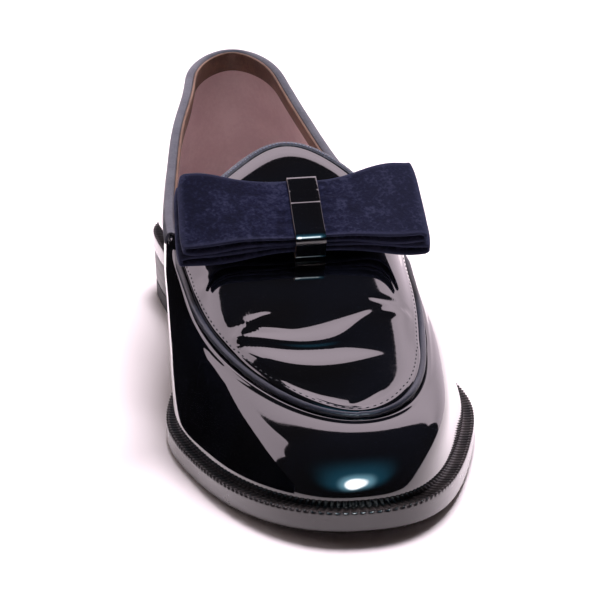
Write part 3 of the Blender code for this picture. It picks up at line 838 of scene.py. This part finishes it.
def bindingProfile(outside):
    # rolled strip: down the outside from a rounded lower edge, over the top in half an ellipse, back inside
    over = trimSizes["bindingOver"]
    low = arc((0.55, -outside + 0.35), (0.5, 0.4), -100, 0, 7)
    bulge = 1.05 + 0.12 * np.sin(np.linspace(0, math.pi, 7))
    side = np.stack([bulge, np.linspace(-outside + 0.6, -0.5, 7)], axis=1)
    top = arc((-0.62, -0.35), (1.72, over + 0.35), 5, 180, 19)
    inside = np.array([[-2.25, -1.2], [-1.9, -1.2], [-1.6, 0.2], [0.1, 0.2], [0.25, -outside + 0.2]])
    return np.concatenate([low, side, top, inside])


def stitchRow(name, path, out, pitch, size, material):
    # rounded lozenge for each stitch, set along the path: length, width and height as half sizes
    count = int(pathLength(path)[-1] / pitch)
    places = (np.arange(count) + 0.5) * pitch
    centre = evenly(path, places)
    normal = unit(evenly(out, np.interp(places, pathLength(path), pathLength(out))))
    ahead = unit(evenly(path, places + 0.05) - evenly(path, places - 0.05))
    side = np.cross(normal, ahead)
    rings, sides = stitchSizes["rings"], stitchSizes["sides"]
    t = np.linspace(-1, 1, rings)
    a = 2 * math.pi * np.arange(sides) / sides
    girth = np.sqrt(np.clip(1 - t**4, 0.02, 1))[:, None]
    local = np.stack([np.repeat(t[:, None], sides, 1), girth * np.cos(a), girth * np.sin(a)], axis=-1) * size
    axes = np.stack([ahead, side, normal], axis=1)
    points = centre[:, None, None] + np.einsum("rsk,nkj->nrsj", local, axes)
    ring = np.arange(rings * sides).reshape(rings, sides)
    shell = gridFaces(ring, closeColumns=True)
    ends = [ring[0, ::-1], ring[-1]]
    start = ring.size * np.arange(count)[:, None, None]
    faces = (shell[None] + start).reshape(-1, 4).tolist()
    faces += (np.stack(ends)[None] + start).reshape(-1, sides).tolist()
    addPiece(name, points, faces, [material], sharp=80)


def buildPiping(surface):
    # round cord in the seam: circle carried along the seam, drawn in at both ends
    front, wall, wallOut = surface["front"], surface["wall"], surface["wallOut"]
    part = front[trimSizes["pipingEnd"] : len(front) - trimSizes["pipingEnd"]]
    count = trimSizes["pipingRings"]
    length = pathLength(wall[-1, part])
    places = np.linspace(0, length[-1], count)
    out = unit(evenly(wallOut[-1, part], np.interp(places, length, pathLength(wallOut[-1, part]))))
    path = evenly(wall[-1, part], places)
    taper, tip, sink = trimSizes["pipingTaper"]
    full = smooth(np.minimum(places, length[-1] - places) / taper)
    path = path + out * (trimSizes["pipingLift"] - sink * (1 - full))[:, None]
    side = unit(np.cross(np.gradient(path, axis=0), out))
    angle = 2 * math.pi * np.arange(trimSizes["pipingSides"]) / trimSizes["pipingSides"]
    radius = trimSizes["pipingRadius"] * (tip + (1 - tip) * full)
    radius = radius * (1 + 0.02 * np.sin(places / 1.9) * np.sin(places / 7.0))
    rings = path[:, None] + radius[:, None, None] * (
        side[:, None] * np.cos(angle)[None, :, None] + out[:, None] * np.sin(angle)[None, :, None]
    )
    faces = sweepFaces(count, trimSizes["pipingSides"], False)
    addPiece("apronPiping", rings, faces, [leather["pipingLeather"]], ["apron_piping"])


def buildApronStitches(surface):
    # fine row along the groove beside the piping
    apron, apronOut = surface["apron"], surface["apronOut"]
    lift, creased = apronRelief(surface)
    part = np.arange(stitchSizes["apronEnd"], apron.shape[1] - stitchSizes["apronEnd"])
    row = np.argmax(columnGap(apron)[:, part] > upperSizes["stitchLine"][1], axis=0)
    out = apronOut[row, part]
    path = apron[row, part] + out * lift[row, part][:, None]
    pitch, size = stitchSizes["apronPitch"], stitchSizes["apron"]
    stitchRow("apronStitches", path, out, pitch, size, thread["darkThread"])


def buildCollar(surface):
    # the binding's profile carried along the rim behind the notches, with a strip of lining inside it
    wall, wallOut = surface["wall"], surface["wallOut"]
    notch = surface["front"][0] - trimSizes["collarEnd"]
    columns = np.arange(-notch, notch + 1)
    path = wall[-1, columns]
    out = wallOut[-1, columns]
    up = unit(wall[-1, columns] - wall[-4, columns])
    profile = bindingProfile(trimSizes["collarOutside"])
    sections = carried(path, out, up, profile)
    faces = sweepFaces(len(path), len(profile), False)
    addPiece("collarBinding", sections, faces, [leather["bindingLeather"]], ["collar_binding"])
    depth = trimSizes["liningDepth"]
    strip = np.concatenate([
        arc((-2.72, 0.1), (0.5, 0.5), 0, 180, 9),
        np.array([[-3.2, -depth * 0.5], [-2.75, -depth], [-2.1, -depth], [-2.2, -0.2]]),
    ])
    sections = carried(path, out, up, strip)
    faces = sweepFaces(len(path), len(strip), False)
    addPiece("collarLining", sections, faces, [leather["liningEdge"]])


def buildTongueBinding(surface):
    # the binding's profile, pressed thinner, carried along the tongue's edge, with a row of stitches
    edge, out = surface["apron"][-1], surface["apronOut"][-1]
    part = slice(trimSizes["tongueEnd"], len(edge) - trimSizes["tongueEnd"])
    up = unit(np.cross(np.gradient(edge, axis=0), out))
    up = up * np.sign(up[len(edge) // 2, 1])
    profile = bindingProfile(trimSizes["tongueOutside"])
    profile[:, 0] *= np.where(profile[:, 0] > 0, trimSizes["tongueThin"], 1)
    edge, out, up = edge[part], out[part], up[part]
    sections = carried(edge, out, up, profile)
    faces = sweepFaces(len(sections), len(profile), False)
    addPiece("tongueBinding", sections, faces, [leather["bindingLeather"]], ["tongue_binding"])
    off, back = stitchSizes["tongueAt"]
    path = edge + out * off * trimSizes["tongueThin"] - up * back
    out = unit(out + stitchSizes["tongueTilt"] * up)
    pitch, size = stitchSizes["tonguePitch"], stitchSizes["tongue"]
    stitchRow("tongueStitches", path, out, pitch, size, thread["greyThread"])


buildPiping(surface)
buildApronStitches(surface)
buildCollar(surface)
buildTongueBinding(surface)


# Sole: rings of points round the shoe, each at an inset from the sole's edge and a height

soleSizes = {
    "columns": 480,
    "dense": 4000,  # turns at which the edge's length is measured
    "ridgePitch": 2.5,
    "ridgeColumns": 12,
    "ridge": 0.95,
    "setback": 0.1,
    "insoleRise": 2.2,
    "insoleRounding": (1.2, 0.6),  # inwards and down
    "edgeRounding": 0.9,
    "featherWall": 2.3,
}
heelSizes = {
    "taper": 0.6,
    "hollow": 3.0,
    "topPiece": 6.0,
    "lift": 4.0,
    "line": 0.08,  # depth of the line between two lifts
    "points": 161,
    "breastPoints": 48,
}


def edgeLengths():  # turns round the sole, and the length of its edge up to each of them
    dense = np.linspace(0, 2 * math.pi, soleSizes["dense"])
    return dense, pathLength(soleEdge(dense))


def evenTurns(count):  # turns that part the sole's edge into equal lengths
    dense, length = edgeLengths()
    return np.interp(np.arange(count) / count * length[-1], length, dense)


def capFaces(ring):  # strips across a loop from one side to the other, facing up
    half = len(ring) // 2
    left, right = ring[1:half], ring[:half:-1]
    strips = np.stack([left[:-1], left[1:], right[1:], right[:-1]], axis=1).tolist()
    return strips + [[ring[0], left[0], right[0]], [left[-1], ring[half], right[-1]]]


def slab(rings):  # points and faces of rings from the lowest to the highest, closed below and above
    index = np.arange(len(rings) * len(rings[0])).reshape(len(rings), -1)
    around = gridFaces(index, closeColumns=True).tolist()
    below = [face[::-1] for face in capFaces(index[0].tolist())]
    return np.stack(rings), around + below + capFaces(index[-1].tolist())


def ringAt(turn, inset, height):  # loop at an inset from the sole's edge, at a height over its lower surface
    return lifted(soleEdge(turn) - outward(soleEdge, turn) * inset, height)


def buildOutsole():
    # rings from under the sole, round its lower edge in a quarter circle, up the side and in over the top
    turn = evenTurns(soleSizes["columns"])
    thick, rounding = last["outsole"], soleSizes["edgeRounding"]
    bend = np.radians(np.linspace(0, 90, 7))
    profile = [(8.0, 0.0), (4.0, 0.0), (2.5, 0.0)]  # inset and height of each ring
    profile += [(rounding * (1 - math.sin(a)), rounding * (1 - math.cos(a))) for a in bend]
    profile += [(-0.08, 0.5 * thick), (0.0, thick - 0.5), (0.0, thick + 0.1), (6.0, thick + 0.1)]
    points, faces = slab([ringAt(turn, inset, height) for inset, height in profile])
    addPiece("outsoleLeather", points, faces, [leather["soleLeather"]], ["outsole"])


def buildWelt():
    # ring with a smooth side, its top pressed into ridges that end as teeth along the outer edge
    dense, length = edgeLengths()
    ridges = round(length[-1] / soleSizes["ridgePitch"])
    columns = ridges * soleSizes["ridgeColumns"]
    turn = evenTurns(columns)
    low, high, back = last["outsole"] + last["gap"], weltTop, soleSizes["setback"]
    inside = feather(turn, soleSizes["featherWall"])
    edge = soleEdge(turn)
    out = outward(soleEdge, turn)
    wave = np.cos(2 * math.pi * np.arange(columns) / soleSizes["ridgeColumns"])
    press = soleSizes["ridge"] * (1 - wave) / 2
    # inset, height, and how far the press goes in and down there
    profile = table(
        "inset height inwards down",
        (0.0, low - 0.2, 0.0, 0.0),
        (0.0, low + 0.25, 0.0, 0.0),
        (0.02, low + 1.2, 0.0, 0.0),
        (back, high - 0.75, 0.0, 0.0),
        (back + 0.05, high - 0.55, 0.2, 0.0),
        (back - 0.15, high - 0.3, 1.0, 0.0),
        (back + 0.0, high - 0.05, 1.2, 0.3),
        (back + 0.4, high + 0.05, 0.9, 0.7),
        (back + 1.1, high + 0.05, 0.1, 0.9),
        (back + 1.9, high, 0.0, 0.8),
        (back + 2.7, high - 0.05, 0.0, 0.6),
        (back + 3.4, high - 0.10, 0.0, 0.3),
    )
    rings = [lifted(inside, low)]
    for inset, height, inwards, down in zip(*profile.values()):
        ring = lifted(edge - out * (inset + inwards * press)[:, None], height)
        rings.append(ring - upwards * (down * press)[:, None])
    rings.append(lifted(inside, high))
    points = np.stack(rings, axis=1)
    faces = sweepFaces(columns, len(rings), True)
    smoothSide = np.arange(len(rings)) < 5  # strips below the teeth, finished as the sole's edge is
    places = np.tile(smoothSide, columns).astype(int)
    materials = [leather["weltLeather"], leather["soleLeather"]]
    addPiece("weltRing", points, faces, materials, ["welt"], places, 75)


def buildInsole():
    # three rings inside the welt: the foot of the side, its top, and the bevelled rim of the upper face
    turn = evenTurns(soleSizes["columns"])
    inside = feather(turn, soleSizes["featherWall"] + 2 * last["gap"])
    inwards, down = soleSizes["insoleRounding"]
    rimmed = inside - outward(soleEdge, turn) * inwards
    top = weltTop + soleSizes["insoleRise"]
    low = last["outsole"] + last["gap"]
    points, faces = slab([lifted(inside, low), lifted(inside, top - down), lifted(rimmed, top)])
    addPiece("insoleSock", points, faces, [leather["liningLeather"]], ["insole"])


def heelLoop(inset, height):  # outline of the heel at a height, closed in front by a hollowed breast
    reach = math.acos(1 - 2 * last["breast"] / last["length"])
    turn = np.linspace(-reach, reach, heelSizes["points"])
    edge = soleEdge(turn) - outward(soleEdge, turn) * inset
    u = (np.arange(1, heelSizes["breastPoints"]) / heelSizes["breastPoints"])[:, None]
    breast = edge[-1] * (1 - u) + edge[0] * u
    breast[:, 1] += heelSizes["hollow"] * (1 - (2 * u[:, 0] - 1) ** 2)
    return np.concatenate([edge, breast]) + upwards * height


def heelBlock(name, low, high, insetLow, insetHigh, lines, finish, node):
    # loops from the lower face to the upper one, with rounded rims and a fine line where two lifts meet
    heights = [low, low, low + 0.25, low + 0.6]
    dents = [1.2, 0.35, 0.08, 0.0]
    for line in lines:
        heights += [line - 0.3, line - 0.08, line, line + 0.08, line + 0.3]
        dents += [0.0, 0.04, heelSizes["line"], 0.04, 0.0]
    heights += [high - 0.5, high - 0.15, high, high]
    dents += [0.0, 0.05, 0.3, 1.2]
    loops = []
    for height, dent in zip(heights, dents):
        place = (height - low) / (high - low)
        loops.append(heelLoop(insetLow + (insetHigh - insetLow) * place + dent, height))
    faces = sweepFaces(len(loops), len(loops[0]), False)
    addPiece(name, np.stack(loops), faces, [leather[finish]], [node])


def buildHeel():  # lowest piece, and the block of lifts over it
    gap, seat, taper, top = last["gap"], last["heelSeat"], heelSizes["taper"], heelSizes["topPiece"]
    lines = np.arange(top + heelSizes["lift"], seat - 1, heelSizes["lift"])
    heelBlock("heelTopPiece", 0.0, top, taper, taper, [], "heelRubber", "heel_top_piece")
    heelBlock("heelStack", top + gap, seat - gap, taper, gap, lines, "heelLeather", "heel_stack")


buildOutsole()
buildWelt()
buildInsole()
buildHeel()


# Bow: two flattened ribbon loops, one on the other, and the strip round both

bow = {
    "fromHeel": 177.8,
    "slope": math.radians(22.6),
    "centre": 1.2,
    "ribbon": 33.0,
    "thick": 1.1,
    "pinch": 0.93,
    "pinchShift": 0.7,  # share of the pinch that the lower edge is spared
    "openAt": 0.85,  # share of a wing's length where it is fully open
    "twistAt": 0.85,
    "twistPower": 1.5,
    "endPower": 6,
    "slant": 2.6,  # how much further the inner end reaches at its lower corner
    "stations": 320,
    "across": 26,
    "gathers": (0.16, 5.2, 11.0),  # their height beside the strip, their pitch, how far they reach
    "waves": 0.22,
    "rims": 0.25,
    "ends": (0.93, 0.07),  # from where on a wing counts as its end, and over what share
    "corner": (0.9, 5),  # how far the corners are drawn in, and how sharply
}
knot = {
    "width": 10.0,
    "thick": 1.0,
    "bends": (1.6, 3.4),  # radius at the upper end and at the lower one
    "slack": 0.9,
    "lean": 0.55,  # how far it leans to the outer side at its middle, twice as far at the top
    "sway": (0.25, 8.0),  # how far it winds from side to side, and how slowly
    "dent": (0.05, 0.2, 0.4),  # across its lower end: depth, place and width
    "rings": 260,
}
knotCreases = table(  # soft creases across its front; a dent is negative
    "place width height",
    (7.8, 0.5, -0.012),
    (1.2, 0.4, -0.035),
    (0.4, 0.5, 0.020),
)
bowEnds = table("reach lift twist", (40.7, 0.8, 8.5), (39.9, 0.3, 9.8))  # inner end, outer end
bowLoops = table(
    "knotLow knotThick endLow endThick longer",
    (1.9, 3.1, 0.4, 4.6, 1.2),
    (5.3, 3.1, 5.3, 4.4, 0.0),
)


def bowPlace(u, v, w):  # along the bow, up the instep, and off the apron
    ridge = readAt(ridgeRows, "z", np.array([bow["fromHeel"]]))[0]
    middle = np.array([bow["centre"], last["length"] / 2 - bow["fromHeel"], ridge])
    upInstep = np.array([0, math.cos(bow["slope"]), math.sin(bow["slope"])])
    off = np.array([0, -math.sin(bow["slope"]), math.cos(bow["slope"])])
    u, v, w = (np.asarray(value, float)[..., None] for value in (u, v, w))
    return middle + u * np.array([1, 0, 0]) + v * upInstep + w * off


def loopPath(row, shrink, angle):
    # one face of a ribbon loop: a flattened closed curve, thin at the strip and opening towards its ends
    across = np.cos(angle)
    side = np.where(across < 0, 0, 1)
    reach = bowEnds["reach"][side]
    start = knot["width"] / 2 + 1
    opening = smooth((np.abs(across) * reach - start) / (bow["openAt"] * reach - start))
    u = across * (reach + (bowLoops["longer"][row] - shrink) * across**4)
    low = bowLoops["knotLow"][row] + opening * (bowLoops["endLow"][row] - bowLoops["knotLow"][row])
    thick = bowLoops["knotThick"][row]
    thick = thick + opening * (bowLoops["endThick"][row] - thick)
    fullness = (1 - np.abs(across) ** bow["endPower"]) ** (1 / bow["endPower"])
    lift = bowEnds["lift"][side] * opening
    w = low + thick / 2 + lift + np.sign(np.sin(angle)) * (thick / 2 - shrink) * fullness
    turned = smooth((np.abs(across) * reach - start) / (bow["twistAt"] * reach - start))
    slope = np.tan(np.radians(bowEnds["twist"][side])) * turned ** bow["twistPower"]
    half = bow["ribbon"] / 2 * (bow["pinch"] + (1 - bow["pinch"]) * opening)
    return u, w, slope, half


def ribbonRing():
    # round the ribbon's own section: place across its face, depth into it, and distance past its rim
    radius = bow["thick"] / 2
    face = np.linspace(-1, 1, bow["across"])
    bend = np.linspace(0, math.pi, 9)[1:-1]
    place = np.concatenate([face, 1 + 0 * bend, face[::-1], -1 + 0 * bend])
    inwards, outwards = radius * (1 - np.cos(bend)), radius * (1 + np.cos(bend))
    depth = np.concatenate([0 * face, inwards, 0 * face + 2 * radius, outwards])
    past = np.concatenate([0 * face, radius * np.sin(bend), 0 * face, radius * np.sin(bend)])
    return place, depth, past


def buildLoop(name, row, node):
    # the ribbon's section carried round its loop, with gathers beside the strip, slow waves and soft corners
    angle = 2 * math.pi * (np.arange(bow["stations"]) + 0.5) / bow["stations"]
    place, depth, past = ribbonRing()
    u, w, slope, half = loopPath(row, depth[None, :], angle[:, None])
    v = place * (half - bow["thick"] / 2) + np.sign(place) * past
    v = v - bow["pinchShift"] * (bow["ribbon"] / 2 - half)
    u = u - bow["slant"] * (u < 0) * np.cos(angle)[:, None] ** 2 * (0.5 - v / bow["ribbon"])
    height, pitch, reach = bow["gathers"]
    nearKnot = hump((np.abs(u) - knot["width"] / 2) / reach, 1.0)
    gathers = height * nearKnot * np.cos(2 * math.pi * v / pitch + 1.3 * row + 0.06 * u)
    waves = bow["waves"] * np.sin(u / 6.5 + 2.0 * row) * np.sin(v / 9.0 + u / 21.0 + row) * (1 - nearKnot)
    rims = bow["rims"] * np.sin(u / 5.0 + 3 * row) * smooth((np.abs(place) - 0.6) / 0.4) * np.sign(place)
    start, share = bow["ends"]
    ends = smooth((np.abs(np.cos(angle))[:, None] - start) / share)
    drawn, sharpness = bow["corner"]
    points = bowPlace(
        u - np.sign(u) * drawn * (ends * np.abs(place) ** sharpness),
        v + rims * (1 - ends),
        w + v * slope + gathers + waves * (1 - ends),
    )
    # painted highlight: pale along the ribbon's rims and at the loop's ends, more on the front face than the
    # back
    face = np.sign(np.sin(angle))[:, None]
    rimLight = smooth((np.abs(place) - 0.9) / 0.1) * np.ones_like(u) + 0.8 * ends * (face + 2) / 3
    index = np.arange(points.shape[0] * points.shape[1]).reshape(points.shape[:2])
    faces = gridFaces(index, closeRows=True, closeColumns=True).tolist()
    addPiece(name, points, faces, [suede], [node], values={"rim": np.clip(rimLight, 0, 1)})


def buildKnot():
    # strip round the loops: rounded rectangle in section, patent faces and bare cut edges
    low = bowLoops["knotLow"][0] - last["gap"]
    high = bowLoops["knotLow"][1] + bowLoops["knotThick"][1] + last["gap"]
    half = bow["ribbon"] / 2 * bow["pinch"] + last["gap"]
    thick = knot["thick"]
    tall = (high - low) / 2 + thick
    wide = half + thick
    shift = bow["pinchShift"] * bow["ribbon"] / 2 * (1 - bow["pinch"])
    top, bottom = wide - shift, -wide - shift - knot["slack"]
    upper, lower = knot["bends"]
    corners = [
        arc((top - upper, tall - upper), (upper, upper), 0, 90, 12),
        arc((bottom + lower, tall - lower), (lower, lower), 90, 180, 16),
        arc((bottom + upper, upper - tall), (upper, upper), 180, 270, 12),
        arc((top - upper, upper - tall), (upper, upper), 270, 360, 12),
    ]
    outline = np.concatenate([*corners, corners[0][:1]])
    outline = np.concatenate([outline, 0 * outline[:, :1]], axis=1)
    length = pathLength(outline)[-1]
    count = knot["rings"]
    path = evenly(outline, np.arange(count) / count * length)[:, :2]
    ahead = np.roll(path, -1, axis=0) - np.roll(path, 1, axis=0)
    out = unit(np.stack([ahead[:, 1], -ahead[:, 0]], axis=1))
    v, w = path[:, 0], path[:, 1]
    front = smooth(w / tall)
    crease = sum(height * hump(v - place, width) for place, width, height in zip(*knotCreases.values()))
    lowEnd = smooth((bottom + 1.4 - v) / 0.8)
    dent, dentAt, dentWidth = knot["dent"]
    crease = crease * front - dent * hump(w - dentAt, dentWidth) * lowEnd
    path = path + out * crease[:, None]
    # round the strip's own section: place across it and depth into it
    across = np.array([-1, -0.994, -0.98, -0.6, -0.2, 0.2, 0.6, 0.98, 0.994, 1, 1, 0.95, 0, -0.95, -1])
    depth = np.array([0.1, 0.03, 0, 0, 0, 0, 0, 0, 0.03, 0.1, 0.85, 1, 1, 1, 0.85]) * thick
    sway, slowness = knot["sway"]
    lean = sway * np.sin(v / slowness) + knot["lean"] * (1 + v / half)
    pv = path[:, None, 0] - out[:, None, 0] * depth
    pw = path[:, None, 1] - out[:, None, 1] * depth
    points = bowPlace(across * (knot["width"] / 2) + lean[:, None], pv, pw + (low + high) / 2)
    index = np.arange(points.shape[0] * points.shape[1]).reshape(points.shape[:2])
    faces = gridFaces(index, closeRows=True, closeColumns=True).tolist()
    edge = np.isin(np.arange(len(across)), (9, 14))  # the two narrow sides
    places = np.tile(edge, count).astype(int)
    values = {"crease": np.zeros(points.shape[:2])}
    materials = [patent, leather["cutEdge"]]
    addPiece("bowKnot", points, faces, materials, ["bow_knot"], places, 40, values)


buildLoop("bowBackLoop", 0, "bow_back_loop")
buildLoop("bowFrontLoop", 1, "bow_front_loop")
buildKnot()


# Studio: pale floor, soft light and the camera

studio = {
    "floor": (shade(0.86, 0.81, 0.84), shade(0.88, 0.83, 0.86)),
    "floorSize": 9.0,
    "sky": shade(0.05, 0.034, 0.028),
    "dark": shade(0.022, 0.020, 0.022),
    "glow": shade(0.08, 0.44, 0.70),
    "glare": shade(1.4, 2.9, 3.7),
    "core": shade(14.0, 14.5, 15.0),
    "eye": (-122.6, -824.4, 288.5),  # in millimetres
    "target": (-1.0, -20.0, 36.0),
    "roll": 0.0215,
    "lens": 150.0,
    "sensor": 36.0,
}
wallLight = {
    "place": (-1.0, 1.0, 0.85),
    "aim": (-1.0, 0.0, 0.85),
    "size": (5.8, 1.70),
    "light": 1.05,
    "tint": (1.0, 0.88, 0.84),
}
topLight = {
    "place": (0.27, 0.58, 1.45),
    "aim": (0.0, 0.0, 0.0),
    "size": (0.6, 0.6),
    "light": 36.0,
    "tint": (1.0, 0.93, 0.98),
}
frontLamp = {
    "place": (-0.03, -1.23, 0.98),
    "aim": (0.0, -0.14, 0.02),
    "core": (0.235, 0.13),  # angles from its middle between which the lamp's light rises, in radians
    "glare": (0.46, 0.16),
    "glow": (1.1, 0.0),
    "glarePower": 2.0,  # how fast each of them falls
    "glowPower": 2.5,
    "below": 0.34,  # how far under the lamp the glow ends
}
panel = {
    "behind": 1.0,
    "columns": 169,
    "light": 1.85,
    "foot": 0.66,  # share of the light at its foot
    "fullFrom": (0.6, 1.3),  # heights between which the light grows to the full
    "tint": (1.0, 0.84, 0.95),
}
panelRows = table(  # upper edge of the panel, in metres
    "across height",
    (-6.5, 5.5),
    (-3.7, 4.0),
    (-2.2, 3.4),
    (-1.7, 3.0),
    (-1.4, 2.5),
    (-1.15, 2.05),
    (-0.8, 1.97),
    (-0.5, 1.90),
    (0.0, 1.68),
    (0.7, 1.60),
    (1.9, 1.45),
)
card = table(  # the dark card's place along the shoe, its foot and its upper edge, in metres
    "along low high height",
    (-0.150, -0.098, -0.115, 0.035),
    (-0.100, -0.072, -0.100, 0.058),
    (-0.060, -0.064, -0.094, 0.084),
    (-0.045, -0.062, -0.092, 0.094),
    (-0.036, -0.061, -0.090, 0.0715),
    (0.150, -0.060, -0.085, 0.0715),
)


def addThing(name, points, faces, material):  # mesh of the studio
    mesh = bpy.data.meshes.new(name)
    mesh.from_pydata(points, [], faces)
    mesh.materials.append(material)
    thing = bpy.data.objects.new(name, mesh)
    bpy.context.scene.collection.objects.link(thing)
    return thing


def addFloor():  # pale square with faint clouds
    finish = Finish("paleFloor", Roughness=0.7, Specular_IOR_Level=0.2)
    finish.drive("Base Color", finish.place.noise(3, 2).step(0.3, 0.7).blend(*studio["floor"]))
    size = studio["floorSize"] / 2
    corners = [(-size, -size, 0), (size, -size, 0), (size, size, 0), (-size, size, 0)]
    floor = addThing("floor", corners, [(0, 1, 2, 3)], finish.material)


def addReflected(name, points, faces, material):  # a thing of the studio that shows only in reflections
    thing = addThing(name, points, faces, material)
    thing.visible_camera = False
    thing.visible_diffuse = False
    thing.visible_shadow = False


def addCard():  # dark card on the inner side
    finish = Finish("darkCard", Roughness=1.0, Specular_IOR_Level=0.0, Base_Color=shade(0.004, 0.004, 0.005))
    low = np.stack([card["low"], card["along"], 0 * card["low"]], axis=1)
    high = np.stack([card["high"], card["along"], card["height"]], axis=1)
    faces = gridFaces(np.arange(2 * len(low)).reshape(2, -1)).tolist()
    addReflected("darkCard", np.concatenate([low, high]).tolist(), faces, finish.material)


def addPanel():  # white wall behind the shoe, dimmer towards its foot
    black = shade(0.0, 0.0, 0.0)
    matt = {"Roughness": 1.0, "Specular_IOR_Level": 0.0, "Base_Color": black}
    finish = Finish("wallPanel", Emission_Strength=1.0, **matt)
    height = finish.place.node("SeparateXYZ", {}, {"Vector": finish.place}, out=2)
    share = height.step(*panel["fullFrom"], panel["foot"], 1.0)
    full = shade(*(panel["light"] * c for c in panel["tint"]))
    finish.drive("Emission Color", share.blend(black, full))
    x = np.linspace(panelRows["across"][0], panelRows["across"][-1], panel["columns"])
    z = spline(x, *panelRows.values())
    edges = np.stack([np.stack([x, panel["behind"] + 0 * x, k * z], axis=1) for k in (0, 1)])
    faces = gridFaces(np.arange(2 * len(x)).reshape(2, -1)).tolist()
    addReflected("wallPanel", edges.reshape(-1, 3).tolist(), faces, finish.material)


def aimed(place, aim, roll=0.0):  # matrix of a thing at a place that looks at its aim, turned by the roll
    back = unit(place - aim)
    side = unit(np.cross(upwards, back))
    right = math.cos(roll) * side - math.sin(roll) * np.cross(back, side)
    columns = np.column_stack([right, np.cross(back, right), back, place])
    return Matrix(columns.tolist() + [[0, 0, 0, 1]])


def addLight(name, settings):  # a lamp that lights matt surfaces and leaves reflections alone
    lamp = bpy.data.lights.new(name, "AREA")
    lamp.shape = "RECTANGLE"
    lamp.size, lamp.size_y = settings["size"]
    lamp.energy = settings["light"] * math.pi * lamp.size * lamp.size_y
    lamp.color = settings["tint"]
    thing = bpy.data.objects.new(name, lamp)
    bpy.context.scene.collection.objects.link(thing)
    thing.matrix_world = aimed(np.array(settings["place"]), np.array(settings["aim"]))
    thing.visible_camera = False
    thing.visible_glossy = False


def addWorld():
    # faint warm light all round, dark in reflections but for a glow round the lamp
    world = bpy.data.worlds.new("studio")
    bpy.context.scene.world = world
    world.use_nodes = True
    tree = world.node_tree
    start = Signal(tree, None)
    ray = start.node("TexCoord", out=0)
    inReflections = start.node("LightPath", out=3)
    towards = unit(np.array(frontLamp["place"]) - frontLamp["aim"])
    facing = ray.node("VectorMath", {"operation": "DOT_PRODUCT"}, {0: ray, 1: towards.tolist()}, out=1)
    height = ray.node("SeparateXYZ", {}, {"Vector": ray}, out=2)
    over = height.step(math.sin(math.asin(towards[2]) - frontLamp["below"]), towards[2])
    wide, near, core = (facing.step(*np.cos(frontLamp[part])) for part in ("glow", "glare", "core"))
    glow = (over * wide ** frontLamp["glowPower"]).blend(studio["dark"], studio["glow"])
    glare = (over * near ** frontLamp["glarePower"]).blend(glow, studio["glare"])
    sky = inReflections.blend(studio["sky"], core.blend(glare, studio["core"]))
    tree.links.new(sky.socket, tree.nodes["Background"].inputs["Color"])


def addCamera():
    # from the photo's viewpoint, aimed at the shoe and rolled as the photo is
    data = bpy.data.cameras.new("camera")
    data.lens = studio["lens"]
    data.sensor_width = studio["sensor"]
    data.clip_end = 50
    camera = bpy.data.objects.new("camera", data)
    eye, target = np.array(studio["eye"]) * mm, np.array(studio["target"]) * mm
    camera.matrix_world = aimed(eye, target, studio["roll"])
    bpy.context.scene.collection.objects.link(camera)
    bpy.context.scene.camera = camera


addFloor()
addCard()
addPanel()
addLight("wallLight", wallLight)
addLight("topLight", topLight)
addWorld()
addCamera()
bpy.context.scene.view_settings.view_transform = "Standard"
print("studio ready")
